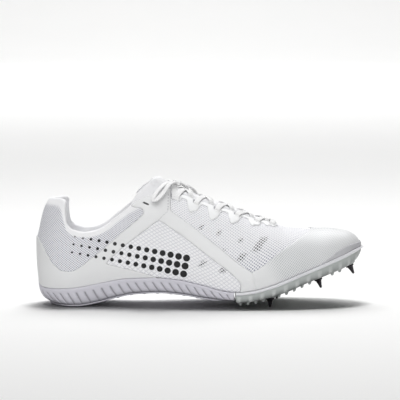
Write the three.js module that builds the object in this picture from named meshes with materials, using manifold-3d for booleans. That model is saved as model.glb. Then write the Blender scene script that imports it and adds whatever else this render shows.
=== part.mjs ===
// Track spike shoe for the right foot, standing empty on its heel and its rear pair of studs.
// Millimetres. +X points to the toe, +Z up, and the outer side of the foot faces -Y.
// Stations along the shoe are measured from the back of the heel.
// The finished group is moved so that the middle of the heel's flat tread is the origin.
import * as THREE from 'three';
import { mergeVertices } from 'three/addons/utils/BufferGeometryUtils.js';
import Module from 'manifold-3d';

const wasm = await Module();
wasm.setup();

// Driving sizes of the whole shoe
const SHOE_LENGTH = 285;
const BALL_WIDTH = 92;
const HEEL_WIDTH = 64;
const WAIST_WIDTH = 60;
const TAB_HEIGHT = 94;
const COLLAR_HEIGHT = 64.2;
const EYESTAY_HEIGHT = 99.5;
const INSTEP_HEIGHT = 97;
const TOE_BOX_HEIGHT = 65.2;

// Heights of the line where upper and sole meet
const HEEL_LIFT = 16.4;
const ARCH_LIFT = 26;
const BALL_LIFT = 14.6;
const TOE_LIFT = 50;

// Upper
const WALL = 1.8;
const COLLAR_PADDING = 4.6;
const HEEL_BULGE = 1.7;
const TAB_LEAN = 13;
const FEATHER_TUCK = 0.05;
const RIDGE_SHIFT = 3.5;
const THROAT_WIDTH = 37;
const THROAT_END = 0.744 * SHOE_LENGTH;
const THROAT_TOP = 0.3965 * SHOE_LENGTH;

// Clearances
const GAP = 0.3;
const SOLE_MARGIN = 1.2;

// Soft pieces inside
const TONGUE_WIDTH = 47;
const TONGUE_THICKNESS = 3;
const TONGUE_DEPTH = 0.9;
const TONGUE_TOP = 0.379 * SHOE_LENGTH;
const TONGUE_SWEEP = 20;
const INSOLE_THICKNESS = 4;
const INSOLE_CUP = 2.5;

// Sole
const FOAM_END = 0.603 * SHOE_LENGTH;
const HEEL_FLAT_START = 10;
const HEEL_FLAT_END = 37;
const HEEL_BEVEL = 8;
const SIDE_INSET = 3.4;
const TREAD_DEPTH = 2.5;
const TREAD_SHEET = 1.3;
const TREAD_SEAT = 0.5;
const TREAD_MARGIN = 1.2;
const RIB_PITCH = 7.4;
const RIB_DEPTH = 1.1;
const RIB_SLANT = 7;
const LUG_PITCH = 11.4;
const LUG_LENGTH = 4.6;
const PLATE_RIB_PITCH = 11;
const PLATE_RIB_DEPTH = 0.9;
const PLATE_LIP = 0.9;
const PLATE_LIP_HEIGHT = 1.7;
const PLATE_LUG_REACH = 26;
const PLATE_LUG_DEPTH = 1.3;

// Studs
const STUD_FLANGE = 4.1;
const STUD_FLANGE_HEIGHT = 1.6;
const STUD_ROOT = 2.5;
const STUD_TIP = 0.9;
const STUD_LENGTH = 8.4;
const SEAT_RADIUS = 6.2;
const SEAT_SINK = 1.2;

// Overlays
const FILM = 0.7;
const GUARD = 1.1;
const FINGER_WIDTH = 3.4;
const FINGER_LENGTH = 13;
const EYESTAY_WIDTH = 7.5;

// Lace
const LACE_WIDTH = 5;
const LACE_THICKNESS = 1.2;
const LACE_SAG = 4;
const LACE_LIFT = 3;
const LACE_RISE = 0.3;
const EYELET_INSET = 3.6;
const EYELET_LENGTH = 5.4;
const EYELET_WIDTH = 2.2;
const CORD_RADIUS = 1.5;
const KNOT_SIZE = 10;
const KNOT_FLATNESS = 0.62;
const KNOT_TILT = Math.PI / 7;

// Mesh fineness
const RING_COLUMNS = 26;
const RING_ROWS = 7;

const OUTER = -1;
const INNER = 1;

// Tables: each row is a station along the shoe, as a share of its length.

// Plan of the sole: how far its middle line is shifted to the inner side, and its half width.
const PLAN = [
  { at: 0.00, shift: 0.000 * BALL_WIDTH, half: 0.500 * HEEL_WIDTH },
  { at: 0.12, shift: 0.000 * BALL_WIDTH, half: 0.490 * HEEL_WIDTH },
  { at: 0.22, shift: -0.005 * BALL_WIDTH, half: 0.485 * WAIST_WIDTH },
  { at: 0.35, shift: -0.027 * BALL_WIDTH, half: 0.500 * WAIST_WIDTH },
  { at: 0.47, shift: -0.036 * BALL_WIDTH, half: 0.395 * BALL_WIDTH },
  { at: 0.58, shift: -0.026 * BALL_WIDTH, half: 0.465 * BALL_WIDTH },
  { at: 0.67, shift: -0.003 * BALL_WIDTH, half: 0.500 * BALL_WIDTH },
  { at: 0.76, shift: 0.026 * BALL_WIDTH, half: 0.485 * BALL_WIDTH },
  { at: 0.86, shift: 0.058 * BALL_WIDTH, half: 0.420 * BALL_WIDTH },
  { at: 0.95, shift: 0.088 * BALL_WIDTH, half: 0.360 * BALL_WIDTH },
  { at: 1.00, shift: 0.100 * BALL_WIDTH, half: 0.340 * BALL_WIDTH },
];
const HEEL_ROUND = 0.5 * HEEL_WIDTH;
const TOE_ROUND = 0.42 * BALL_WIDTH;

// Where the upper meets the sole, seen from the side
const FEATHER = [
  { at: 0.000, height: 1.24 * HEEL_LIFT },
  { at: 0.025, height: 1.00 * HEEL_LIFT },
  { at: 0.060, height: 0.98 * HEEL_LIFT },
  { at: 0.120, height: 1.05 * HEEL_LIFT },
  { at: 0.200, height: 0.82 * ARCH_LIFT },
  { at: 0.280, height: 0.97 * ARCH_LIFT },
  { at: 0.360, height: 1.00 * ARCH_LIFT },
  { at: 0.430, height: 0.95 * ARCH_LIFT },
  { at: 0.510, height: 1.38 * BALL_LIFT },
  { at: 0.570, height: 1.08 * BALL_LIFT },
  { at: 0.610, height: 1.00 * BALL_LIFT },
  { at: 0.663, height: 1.12 * BALL_LIFT },
  { at: 0.725, height: 1.46 * BALL_LIFT },
  { at: 0.790, height: 0.57 * TOE_LIFT },
  { at: 0.862, height: 0.73 * TOE_LIFT },
  { at: 0.930, height: 0.88 * TOE_LIFT },
  { at: 1.000, height: 1.00 * TOE_LIFT },
];

// Lowest line of the sole, seen from the side
const BOTTOM = [
  { at: 0.000, height: 0.00 * HEEL_LIFT },
  { at: HEEL_FLAT_START / SHOE_LENGTH, height: 0.00 * HEEL_LIFT },
  { at: HEEL_FLAT_END / SHOE_LENGTH, height: 0.00 * HEEL_LIFT },
  { at: 0.180, height: 0.13 * HEEL_LIFT },
  { at: 0.250, height: 0.28 * ARCH_LIFT },
  { at: 0.300, height: 0.39 * ARCH_LIFT },
  { at: 0.380, height: 0.44 * ARCH_LIFT },
  { at: 0.450, height: 0.39 * ARCH_LIFT },
  { at: 0.520, height: 0.49 * BALL_LIFT },
  { at: 0.600, height: 0.35 * BALL_LIFT },
  { at: 0.650, height: 0.42 * BALL_LIFT },
  { at: 0.700, height: 0.62 * BALL_LIFT },
  { at: 0.760, height: 0.96 * BALL_LIFT },
  { at: 0.820, height: 0.42 * TOE_LIFT },
  { at: 0.900, height: 0.58 * TOE_LIFT },
  { at: 0.950, height: 0.68 * TOE_LIFT },
  { at: 0.984, height: 0.80 * TOE_LIFT },
  { at: 1.000, height: 0.93 * TOE_LIFT },
];

// Ridge of the closed form that the upper is cut from, and how boxy its sections are.
// Above the heel the ridge is far over the collar, so that the walls there stand nearly upright.
const RIDGE = [
  { at: 0.000, height: 1.60 * TAB_HEIGHT, box: 2.00 },
  { at: 0.200, height: 1.58 * TAB_HEIGHT, box: 2.00 },
  { at: 0.280, height: 1.40 * INSTEP_HEIGHT, box: 2.05 },
  { at: 0.330, height: 1.25 * INSTEP_HEIGHT, box: 2.10 },
  { at: 0.370, height: 1.16 * INSTEP_HEIGHT, box: 2.15 },
  { at: 0.420, height: 1.06 * INSTEP_HEIGHT, box: 2.20 },
  { at: 0.470, height: 1.00 * INSTEP_HEIGHT, box: 2.20 },
  { at: 0.526, height: 0.94 * INSTEP_HEIGHT, box: 2.20 },
  { at: 0.600, height: 0.86 * INSTEP_HEIGHT, box: 2.20 },
  { at: 0.667, height: 0.78 * INSTEP_HEIGHT, box: 2.20 },
  { at: 0.720, height: 0.735 * INSTEP_HEIGHT, box: 2.20 },
  { at: 0.760, height: 1.030 * TOE_BOX_HEIGHT, box: 2.20 },
  { at: 0.810, height: 1.010 * TOE_BOX_HEIGHT, box: 2.25 },
  { at: 0.870, height: 0.990 * TOE_BOX_HEIGHT, box: 2.30 },
  { at: 0.920, height: 1.000 * TOE_BOX_HEIGHT, box: 2.30 },
  { at: 0.965, height: 1.030 * TOE_BOX_HEIGHT, box: 2.30 },
  { at: 1.000, height: 1.020 * TOE_BOX_HEIGHT, box: 2.30 },
];
const TOE_BLUNTNESS = 32;

// Edge of the collar, from the heel tab to the top corner of the eyestay
const COLLAR = [
  { at: 0.000, height: 0.985 * TAB_HEIGHT },
  { at: 0.035, height: 0.985 * TAB_HEIGHT },
  { at: 0.056, height: 0.970 * TAB_HEIGHT },
  { at: 0.068, height: 0.930 * TAB_HEIGHT },
  { at: 0.080, height: 0.850 * TAB_HEIGHT },
  { at: 0.094, height: 1.090 * COLLAR_HEIGHT },
  { at: 0.115, height: 1.020 * COLLAR_HEIGHT },
  { at: 0.150, height: 0.990 * COLLAR_HEIGHT },
  { at: 0.175, height: 1.003 * COLLAR_HEIGHT },
  { at: 0.200, height: 1.040 * COLLAR_HEIGHT },
  { at: 0.250, height: 0.785 * EYESTAY_HEIGHT },
  { at: 0.285, height: 0.870 * EYESTAY_HEIGHT },
  { at: 0.315, height: 0.933 * EYESTAY_HEIGHT },
  { at: 0.350, height: 0.968 * EYESTAY_HEIGHT },
  { at: 0.380, height: 0.990 * EYESTAY_HEIGHT },
  { at: 0.420, height: 1.000 * EYESTAY_HEIGHT },
  { at: 1.000, height: 1.000 * EYESTAY_HEIGHT },
];

// Half width of the throat
const THROAT = [
  { at: 0.36, half: 0.37 * THROAT_WIDTH },
  { at: 0.42, half: 0.30 * THROAT_WIDTH },
  { at: 0.48, half: 0.32 * THROAT_WIDTH },
  { at: 0.55, half: 0.35 * THROAT_WIDTH },
  { at: 0.60, half: 0.32 * THROAT_WIDTH },
  { at: 0.70, half: 0.25 * THROAT_WIDTH },
  { at: 0.75, half: 0.23 * THROAT_WIDTH },
];
const THROAT_END_ROUND = 14;

// Back of the heel, seen from the side: how far it leans, from the feather to the top of the tab
const BACK = [
  { up: 0.00, lean: 0.00 * HEEL_BULGE },
  { up: 0.18, lean: -0.65 * HEEL_BULGE },
  { up: 0.38, lean: -1.00 * HEEL_BULGE },
  { up: 0.50, lean: -0.92 * HEEL_BULGE },
  { up: 0.60, lean: 0.01 * TAB_LEAN },
  { up: 0.70, lean: 0.13 * TAB_LEAN },
  { up: 0.80, lean: 0.29 * TAB_LEAN },
  { up: 0.90, lean: 0.54 * TAB_LEAN },
  { up: 1.00, lean: 1.00 * TAB_LEAN },
  { up: 2.00, lean: 2.60 * TAB_LEAN },
];
const LEAN_REACH = 0.32 * SHOE_LENGTH;

// Eyelets along the throat, from the ankle to the toe, and the finger of film beside each
const EYELETS = [
  { at: 0.424, finger: 0.40 * FINGER_LENGTH },
  { at: 0.483, finger: 1.00 * FINGER_LENGTH },
  { at: 0.546, finger: 1.00 * FINGER_LENGTH },
  { at: 0.608, finger: 0.95 * FINGER_LENGTH },
  { at: 0.670, finger: 0.80 * FINGER_LENGTH },
  { at: 0.716, finger: 0.50 * FINGER_LENGTH },
];

// Outline of the quarter overlay, seen from the side, on the last:
// at is the share of the length, up the share of the way from the feather to the upper's edge.
const QUARTER_OUTLINE = [
  { at: 0.000, up: 0.57 }, { at: 0.016, up: 0.500 }, { at: 0.032, up: 0.402 }, { at: 0.050, up: 0.295 },
  { at: 0.076, up: 0.232 }, { at: 0.113, up: 0.281 }, { at: 0.147, up: 0.411 }, { at: 0.217, up: 0.646 },
  { at: 0.328, up: 0.783 }, { at: 0.333, up: 0.820 }, { at: 0.326, up: 0.860 }, { at: 0.270, up: 0.930 },
  { at: 0.270, up: 1.200 }, { at: 0.397, up: 1.200 }, { at: 0.397, up: 0.775 }, { at: 0.428, up: 0.754 },
  { at: 0.490, up: 0.652 }, { at: 0.561, up: 0.518 }, { at: 0.651, up: 0.279 }, { at: 0.666, up: 0.150 },
  { at: 0.668, up: 0.000 }, { at: 0.668, up: -0.20 }, { at: 0.618, up: -0.20 }, { at: 0.618, up: 0.000 },
  { at: 0.624, up: 0.115 }, { at: 0.591, up: 0.250 }, { at: 0.530, up: 0.372 }, { at: 0.448, up: 0.529 },
  { at: 0.375, up: 0.691 }, { at: 0.267, up: 0.483 }, { at: 0.212, up: 0.345 }, { at: 0.219, up: 0.305 },
  { at: 0.285, up: 0.123 }, { at: 0.346, up: 0.034 }, { at: 0.387, up: 0.000 }, { at: 0.387, up: -0.20 },
  { at: -0.02, up: -0.20 }, { at: -0.02, up: 0.57 },
];

// Rear edge of the toe overlay, seen from the side, from the feather up to the ridge
const TOE_EDGE = [
  { at: 0.676, up: -0.10 }, { at: 0.676, up: 0.12 }, { at: 0.681, up: 0.26 }, { at: 0.704, up: 0.41 },
  { at: 0.766, up: 0.66 }, { at: 0.806, up: 0.83 }, { at: 0.847, up: 1.04 },
];

// Rear edge of the toe guard, seen from the side
const GUARD_EDGE = [
  { at: 0.872, up: -0.10 }, { at: 0.880, up: 0.08 }, { at: 0.915, up: 0.23 }, { at: 0.950, up: 0.40 },
  { at: 0.975, up: 0.62 }, { at: 1.020, up: 0.80 },
];

// Studs: station, side and where the tip stands
const STUDS = [
  { name: 'spike_rear_outer', at: 0.712, across: -0.66 },
  { name: 'spike_rear_inner', at: 0.740, across: 0.66 },
  { name: 'spike_middle_outer', at: 0.858, across: -0.62 },
  { name: 'spike_middle_inner', at: 0.862, across: 0.62 },
  { name: 'spike_front_outer', at: 0.957, across: -0.42 },
  { name: 'spike_front_inner', at: 0.957, across: 0.42 },
];

// Smooth curve through one column of a table, without overshoot
function curve(rows, key, column) {
  const xs = rows.map((row) => row[key]);
  const ys = rows.map((row) => row[column]);
  const slopes = ys.map(() => 0);
  for (let i = 1; i < xs.length - 1; i += 1) {
    const before = (ys[i] - ys[i - 1]) / (xs[i] - xs[i - 1]);
    const after = (ys[i + 1] - ys[i]) / (xs[i + 1] - xs[i]);
    slopes[i] = before * after > 0 ? (2 * before * after) / (before + after) : 0;
  }
  return (x) => {
    const last = xs.length - 1;
    if (x <= xs[0]) return ys[0];
    if (x >= xs[last]) return ys[last];
    let i = 0;
    while (x > xs[i + 1]) i += 1;
    const span = xs[i + 1] - xs[i];
    const t = (x - xs[i]) / span;
    const rise = t * t * (3 - 2 * t);
    const start = t * (1 - t) * (1 - t) * slopes[i] * span;
    const end = t * t * (t - 1) * slopes[i + 1] * span;
    return ys[i] + (ys[i + 1] - ys[i]) * rise + start + end;
  };
}

const clamp = THREE.MathUtils.clamp;
const mix = THREE.MathUtils.lerp;
const smooth = (x, from, to) => THREE.MathUtils.smoothstep(x, Math.min(from, to), Math.max(from, to));

const planShift = curve(PLAN, 'at', 'shift');
const planHalf = curve(PLAN, 'at', 'half');
const featherCurve = curve(FEATHER, 'at', 'height');
const bottomCurve = curve(BOTTOM, 'at', 'height');
const ridgeCurve = curve(RIDGE, 'at', 'height');
const boxCurve = curve(RIDGE, 'at', 'box');
const collarCurve = curve(COLLAR, 'at', 'height');
const throatCurve = curve(THROAT, 'at', 'half');
const backCurve = curve(BACK, 'up', 'lean');

// Quarter of a circle that closes an outline at its end: 0 at the end, 1 from the reach on
function round(distance, reach) {
  const t = 1 - clamp(distance / reach, 0, 1);
  return Math.sqrt(1 - t * t);
}

// Outline in plan between a back and a front end, narrowed by a margin at each side
function outline(back, front, margin) {
  return {
    back,
    front,
    middle: (x) => planShift(x / SHOE_LENGTH),
    half: (x) => (planHalf(x / SHOE_LENGTH) - margin) * round(x - back, HEEL_ROUND - margin)
      * round(front - x, TOE_ROUND - margin),
  };
}

const feather = (x) => featherCurve(x / SHOE_LENGTH);
const bottom = (x) => bottomCurve(x / SHOE_LENGTH);

const SOLE_BACK = HEEL_BULGE - 0.6;
const UPPER_BACK = HEEL_BULGE;
const UPPER_FRONT = SHOE_LENGTH - 1.8;
const soleOutline = outline(SOLE_BACK, SHOE_LENGTH, 0);
const upperOutline = outline(UPPER_BACK, UPPER_FRONT, SOLE_MARGIN);

// Height of the closed form over the feather
function domeRise(x) {
  return (ridgeCurve(x / SHOE_LENGTH) - feather(x)) * round(UPPER_FRONT - x, TOE_BLUNTNESS);
}

// Point of the closed form at a station and a place across it:
// across is -1 at the outer feather, 0 on the ridge and 1 at the inner feather.
function lastPoint(station, across) {
  const x = clamp(station, UPPER_BACK, UPPER_FRONT);
  const side = Math.sign(across);
  const arch = (1 - clamp(Math.abs(across), 0, 1)) * Math.PI / 2;
  const power = 2 / boxCurve(x / SHOE_LENGTH);
  const up = Math.pow(Math.sin(arch), power);
  const out = Math.pow(Math.max(Math.cos(arch), 0), power);
  const height = domeRise(x) * up;
  const tuck = 1 - FEATHER_TUCK * Math.pow(1 - clamp(height / (0.5 * ARCH_LIFT), 0, 1), 2);
  const shift = RIDGE_SHIFT * up * smooth(x, 0.45 * SHOE_LENGTH, 0.7 * SHOE_LENGTH);
  const leaning = Math.pow(1 - clamp((x - UPPER_BACK) / LEAN_REACH, 0, 1), 2);
  const lean = backCurve(height / (TAB_HEIGHT - HEEL_LIFT)) * leaning;
  const y = upperOutline.middle(x) + shift * round(UPPER_FRONT - x, TOE_BLUNTNESS)
    + side * upperOutline.half(x) * out * tuck;
  return new THREE.Vector3(x + lean, y, feather(x) + height);
}

// Outward direction of the closed form
function lastNormal(station, across) {
  const dx = 0.05;
  const da = 0.004;
  const x = clamp(station, UPPER_BACK + dx, UPPER_FRONT - dx);
  const a = clamp(across, -1 + da, 1 - da);
  const along = lastPoint(x + dx, a).sub(lastPoint(x - dx, a));
  const over = lastPoint(x, a + da).sub(lastPoint(x, a - da));
  return along.cross(over).normalize();
}

// Point at a distance from the closed form, outside it where the distance is positive
function nearLast(station, across, distance) {
  return lastPoint(station, across).addScaledVector(lastNormal(station, across), distance);
}

// Half of the arch's girth, close enough to keep routes over the form straight
function halfGirth(x) {
  return Math.hypot(upperOutline.half(x), domeRise(x)) + 0.001;
}

// Place across the form at which its section reaches a height
function acrossAtHeight(x, height) {
  const box = boxCurve(x / SHOE_LENGTH);
  const up = clamp((height - feather(x)) / Math.max(domeRise(x), 0.001), 0, 1);
  return 1 - Math.asin(Math.pow(up, box / 2)) * 2 / Math.PI;
}

// Place across the form at which its section has a half width
function acrossAtHalf(x, half) {
  const box = boxCurve(x / SHOE_LENGTH);
  const out = clamp(half / Math.max(upperOutline.half(x), 0.001), 0, 1);
  return 1 - Math.acos(Math.pow(out, box / 2)) * 2 / Math.PI;
}

// Half width of the throat at a station, closing in a round end towards the toe
function throatHalf(x) {
  const closing = clamp((x - THROAT_END + THROAT_END_ROUND) / THROAT_END_ROUND, 0, 1);
  return throatCurve(x / SHOE_LENGTH) * Math.sqrt(1 - closing * closing);
}

// Place across the form of the edge of the upper, at the collar and then along the throat
function edgeAcross(x) {
  const collar = acrossAtHeight(x, collarCurve(x / SHOE_LENGTH));
  const throat = acrossAtHalf(x, throatHalf(x));
  return mix(collar, throat, smooth(x, THROAT_TOP - 8, THROAT_TOP + 7));
}

// Height of that edge
const edgeHeight = (x) => (x < THROAT_END
  ? lastPoint(x, edgeAcross(x)).z
  : feather(x) + domeRise(x));

// Stations spaced by arc length along a curve of the shoe
function spaced(point, from, to, count) {
  const steps = 600;
  const lengths = [0];
  const stations = [from];
  let before = point(from);
  for (let i = 1; i <= steps; i += 1) {
    const t = (1 - Math.cos(Math.PI * i / steps)) / 2;
    const x = mix(from, to, t);
    const here = point(x);
    lengths.push(lengths[i - 1] + here.distanceTo(before));
    stations.push(x);
    before = here;
  }
  return (share) => {
    const goal = clamp(share, 0, 1) * lengths[steps];
    let i = 1;
    while (i < steps && lengths[i] < goal) i += 1;
    const part = (goal - lengths[i - 1]) / Math.max(lengths[i] - lengths[i - 1], 1e-9);
    return mix(stations[i - 1], stations[i], clamp(part, 0, 1));
  };
}

// Grid of places on the last, from the feather up to the edge, round the whole upper.
// Column 0 is the back seam, then the outer side, the toe and the inner side.
function upperGrid(columns, rows) {
  const feet = spaced((x) => lastPoint(x, 1), UPPER_BACK, UPPER_FRONT);
  const edge = spaced((x) => lastPoint(x, edgeAcross(x)), UPPER_BACK, THROAT_END);
  const grid = [];
  for (let j = 0; j <= rows; j += 1) {
    const v = Math.pow(j / rows, 1.15);
    const ring = [];
    for (let i = 0; i < 2 * columns; i += 1) {
      const side = i <= columns ? OUTER : INNER;
      const share = (i <= columns ? i : 2 * columns - i) / columns;
      const foot = feet(mix(Math.pow(share, 1.25), share, share));
      const top = edge(share);
      const reach = edgeAcross(top) * halfGirth(top);
      const station = mix(foot, top, v);
      const across = mix(halfGirth(foot), reach, v) / halfGirth(station);
      ring.push({ station, across: side * clamp(across, 0, 1), v });
    }
    grid.push(ring);
  }
  return grid;
}

const UPPER_GRID = upperGrid(RING_COLUMNS, RING_ROWS);

// Thickness of the upper's wall: padded towards the edge of the collar
function wallThickness(place) {
  const collar = 1 - smooth(place.station, 0.21 * SHOE_LENGTH, 0.29 * SHOE_LENGTH);
  return mix(WALL, COLLAR_PADDING, collar * smooth(place.v, 0.35, 0.85));
}

// Solid between two layers of points, each a list of rings or rows, from list index to index
function solidBetween(low, high, closed) {
  const rows = low.length;
  const columns = low[0].length;
  const points = [...low.flat(), ...high.flat()];
  const faces = [];
  const at = (layer, j, i) => layer * rows * columns + j * columns + (i % columns);
  const quad = (a, b, c, d) => faces.push(a, b, c, a, c, d);
  const spans = closed ? columns : columns - 1;
  for (let j = 0; j < rows - 1; j += 1) {
    for (let i = 0; i < spans; i += 1) {
      quad(at(1, j, i), at(1, j, i + 1), at(1, j + 1, i + 1), at(1, j + 1, i));
      quad(at(0, j, i), at(0, j + 1, i), at(0, j + 1, i + 1), at(0, j, i + 1));
    }
  }
  for (let i = 0; i < spans; i += 1) {
    quad(at(0, 0, i), at(0, 0, i + 1), at(1, 0, i + 1), at(1, 0, i));
    quad(at(0, rows - 1, i + 1), at(0, rows - 1, i), at(1, rows - 1, i), at(1, rows - 1, i + 1));
  }
  if (!closed) {
    for (let j = 0; j < rows - 1; j += 1) {
      const end = columns - 1;
      quad(at(0, j + 1, 0), at(0, j, 0), at(1, j, 0), at(1, j + 1, 0));
      quad(at(0, j, end), at(0, j + 1, end), at(1, j + 1, end), at(1, j, end));
    }
  }
  return meshOf(points, faces);
}

// Geometry of points and triangles, merged, with its faces turned outwards
function meshOf(points, faces) {
  const geometry = new THREE.BufferGeometry();
  const places = points.flatMap((point) => point.toArray());
  geometry.setAttribute('position', new THREE.Float32BufferAttribute(places, 3));
  geometry.setIndex(faces);
  return outward(mergeVertices(geometry, 0.002));
}

// Geometry without the triangles that merging has closed up, facing outwards
function outward(geometry) {
  const index = Array.from(geometry.index.array);
  const place = geometry.attributes.position;
  const kept = [];
  let volume = 0;
  const a = new THREE.Vector3();
  const b = new THREE.Vector3();
  const c = new THREE.Vector3();
  for (let i = 0; i < index.length; i += 3) {
    const [p, q, r] = index.slice(i, i + 3);
    if (p === q || q === r || r === p) continue;
    kept.push(p, q, r);
    a.fromBufferAttribute(place, p);
    b.fromBufferAttribute(place, q);
    c.fromBufferAttribute(place, r);
    volume += a.dot(b.cross(c));
  }
  if (volume < 0) kept.reverse();
  geometry.setIndex(kept);
  return geometry;
}

// Closed mesh as a solid that can be joined and cut
function toSolid(geometry) {
  const bare = geometry.clone();
  bare.deleteAttribute('normal');
  bare.deleteAttribute('uv');
  const merged = mergeVertices(bare, 0.0005);
  return new wasm.Manifold(new wasm.Mesh({
    numProp: 3,
    vertProperties: new Float32Array(merged.attributes.position.array),
    triVerts: new Uint32Array(merged.index.array),
  }));
}

function fromSolid(solid) {
  const mesh = solid.getMesh();
  const geometry = new THREE.BufferGeometry();
  geometry.setAttribute('position', new THREE.Float32BufferAttribute(mesh.vertProperties, 3));
  geometry.setIndex(Array.from(mesh.triVerts));
  return geometry;
}

// Largest body of a solid, without crumbs that a cut has left
function mainBody(solid) {
  const bodies = solid.decompose();
  return bodies.reduce((best, body) => (body.volume() > best.volume() ? body : best));
}

// Layer of points at a distance from the last over a grid of places
function layer(grid, distance) {
  return grid.map((ring) => ring.map((place) => nearLast(place.station, place.across, distance(place))));
}

// Prism over an outline seen from the side, between two places across the shoe
function sidePrism(corners, from, to) {
  const shape = new THREE.Shape(corners);
  const prism = new THREE.ExtrudeGeometry(shape, { depth: to - from, bevelEnabled: false });
  prism.rotateX(Math.PI / 2);
  prism.translate(0, to, 0);
  return prism;
}

// Corner of a side outline from a place on the last
function sideCorner(row) {
  const x = clamp(row.at * SHOE_LENGTH, 0, SHOE_LENGTH);
  const height = edgeHeight(clamp(x, UPPER_BACK, UPPER_FRONT));
  return new THREE.Vector2(row.at * SHOE_LENGTH, mix(feather(x), height, row.up));
}

// Upper: hollow shell with a rounded, padded collar
function upper() {
  const outside = layer(UPPER_GRID, () => 0);
  const inside = layer(UPPER_GRID, (place) => -wallThickness(place));
  inside[0].forEach((point) => point.setZ(feather(point.x)));
  outside[0].forEach((point) => point.setZ(feather(point.x)));
  const rim = outside[RING_ROWS].map((point, i) => {
    const along = point.clone().sub(outside[RING_ROWS - 1][i]).normalize();
    const thickness = wallThickness(UPPER_GRID[RING_ROWS][i]);
    return point.clone().lerp(inside[RING_ROWS][i], 0.5).addScaledVector(along, 0.42 * thickness);
  });
  outside.push(rim);
  inside.push(rim.map((point) => point.clone()));
  const shell = toSolid(solidBetween(inside, outside, true));
  const slots = eyeletSlots();
  return fromSolid(mainBody(slots.reduce((solid, slot) => solid.subtract(slot), shell)));
}

// Place across the form of the middle of an eyelet
function eyeletAcross(x, side) {
  const half = throatHalf(x) + EYELET_INSET;
  return side * acrossAtHalf(x, half);
}

// Slots for the lace through the eyestays
function eyeletSlots() {
  const slots = [];
  for (const { at } of EYELETS) {
    for (const side of [OUTER, INNER]) {
      const x = at * SHOE_LENGTH;
      const across = eyeletAcross(x, side);
      const box = new THREE.BoxGeometry(EYELET_WIDTH, EYELET_LENGTH, 12);
      const place = nearLast(x, across, 0);
      const out = lastNormal(x, across);
      const along = new THREE.Vector3(1, 0, 0).addScaledVector(out, -out.x).normalize();
      const over = out.clone().cross(along);
      box.applyMatrix4(new THREE.Matrix4().makeBasis(along, over, out).setPosition(place));
      slots.push(toSolid(box));
    }
  }
  return slots;
}

// Tongue: padded sheet under the throat, from the vamp up past the collar
function tongue() {
  const rows = 12;
  const columns = 8;
  const grid = [];
  for (let j = 0; j <= rows; j += 1) {
    const up = j / rows;
    const row = [];
    for (let i = 0; i <= columns; i += 1) {
      const side = 2 * i / columns - 1;
      const sweep = TONGUE_SWEEP * side * side * Math.pow(up, 4);
      const station = mix(THROAT_END + 12, TONGUE_TOP, up) - sweep;
      const half = Math.abs(side) * TONGUE_WIDTH / 2 * mix(0.8, 1, smooth(up, 0, 0.8));
      row.push({ station, across: Math.sign(side) * acrossAtHalf(station, half), side });
    }
    grid.push(row);
  }
  const over = layer(grid, () => -WALL - TONGUE_DEPTH);
  const under = layer(grid, (place) => {
    const padding = 1 - 0.6 * Math.pow(Math.abs(place.side), 3);
    return -WALL - TONGUE_DEPTH - TONGUE_THICKNESS * padding;
  });
  return solidBetween(under, over, false);
}

// Insole: thin bed on the sole, inside the upper, with a raised heel cup
function insole() {
  const margin = SOLE_MARGIN + WALL + 2.8;
  const bed = outline(UPPER_BACK + WALL + 3, UPPER_FRONT - WALL - 3.6, margin);
  const heights = [GAP, GAP + INSOLE_THICKNESS];
  const layers = heights.map((height) => plate(bed, 18, (x, share) => {
    const edge = 1 - (1 - share * share) * clamp(bed.half(x) / (0.3 * HEEL_WIDTH), 0, 1);
    const cup = INSOLE_CUP * edge * (1 - smooth(x, 0.2 * SHOE_LENGTH, 0.45 * SHOE_LENGTH));
    return feather(x) + height + (height > GAP ? cup : 0);
  }));
  return solidBetween(layers[0], layers[1], false);
}

// Rows of points over an outline in plan: each row runs across from the outer to the inner side
function plate(plan, rows, heightAt) {
  const stations = spaced((x) => new THREE.Vector3(x, plan.half(x), 0), plan.back, plan.front);
  const shares = [-1, -0.55, 0, 0.55, 1];
  const grid = [];
  for (let j = 0; j <= rows; j += 1) {
    const x = stations(j / rows);
    grid.push(shares.map((share) => {
      const y = plan.middle(x) + share * plan.half(x);
      return new THREE.Vector3(x, y, heightAt(x, share));
    }));
  }
  return grid;
}

// Point on the side of the sole: level 0 is its lowest line and 1 its top
function soleSide(x, side, level, low, inset) {
  const dx = 0.3;
  const half = soleOutline.half(x);
  const near = clamp(x, soleOutline.back + dx, soleOutline.front - dx);
  const slope = (soleOutline.half(near + dx) - soleOutline.half(near - dx)) / (2 * dx);
  const length = Math.hypot(1, slope);
  const bevel = HEEL_BEVEL * Math.pow(1 - level, 2.4) * Math.pow(1 - smooth(x, 0, 0.16 * SHOE_LENGTH), 2);
  const px = x + inset * slope / length + bevel;
  const py = soleOutline.middle(x) + side * Math.max(half - inset / length, 0);
  const top = feather(px) - GAP;
  return new THREE.Vector3(px, py, mix(low(px), top, level));
}

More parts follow.
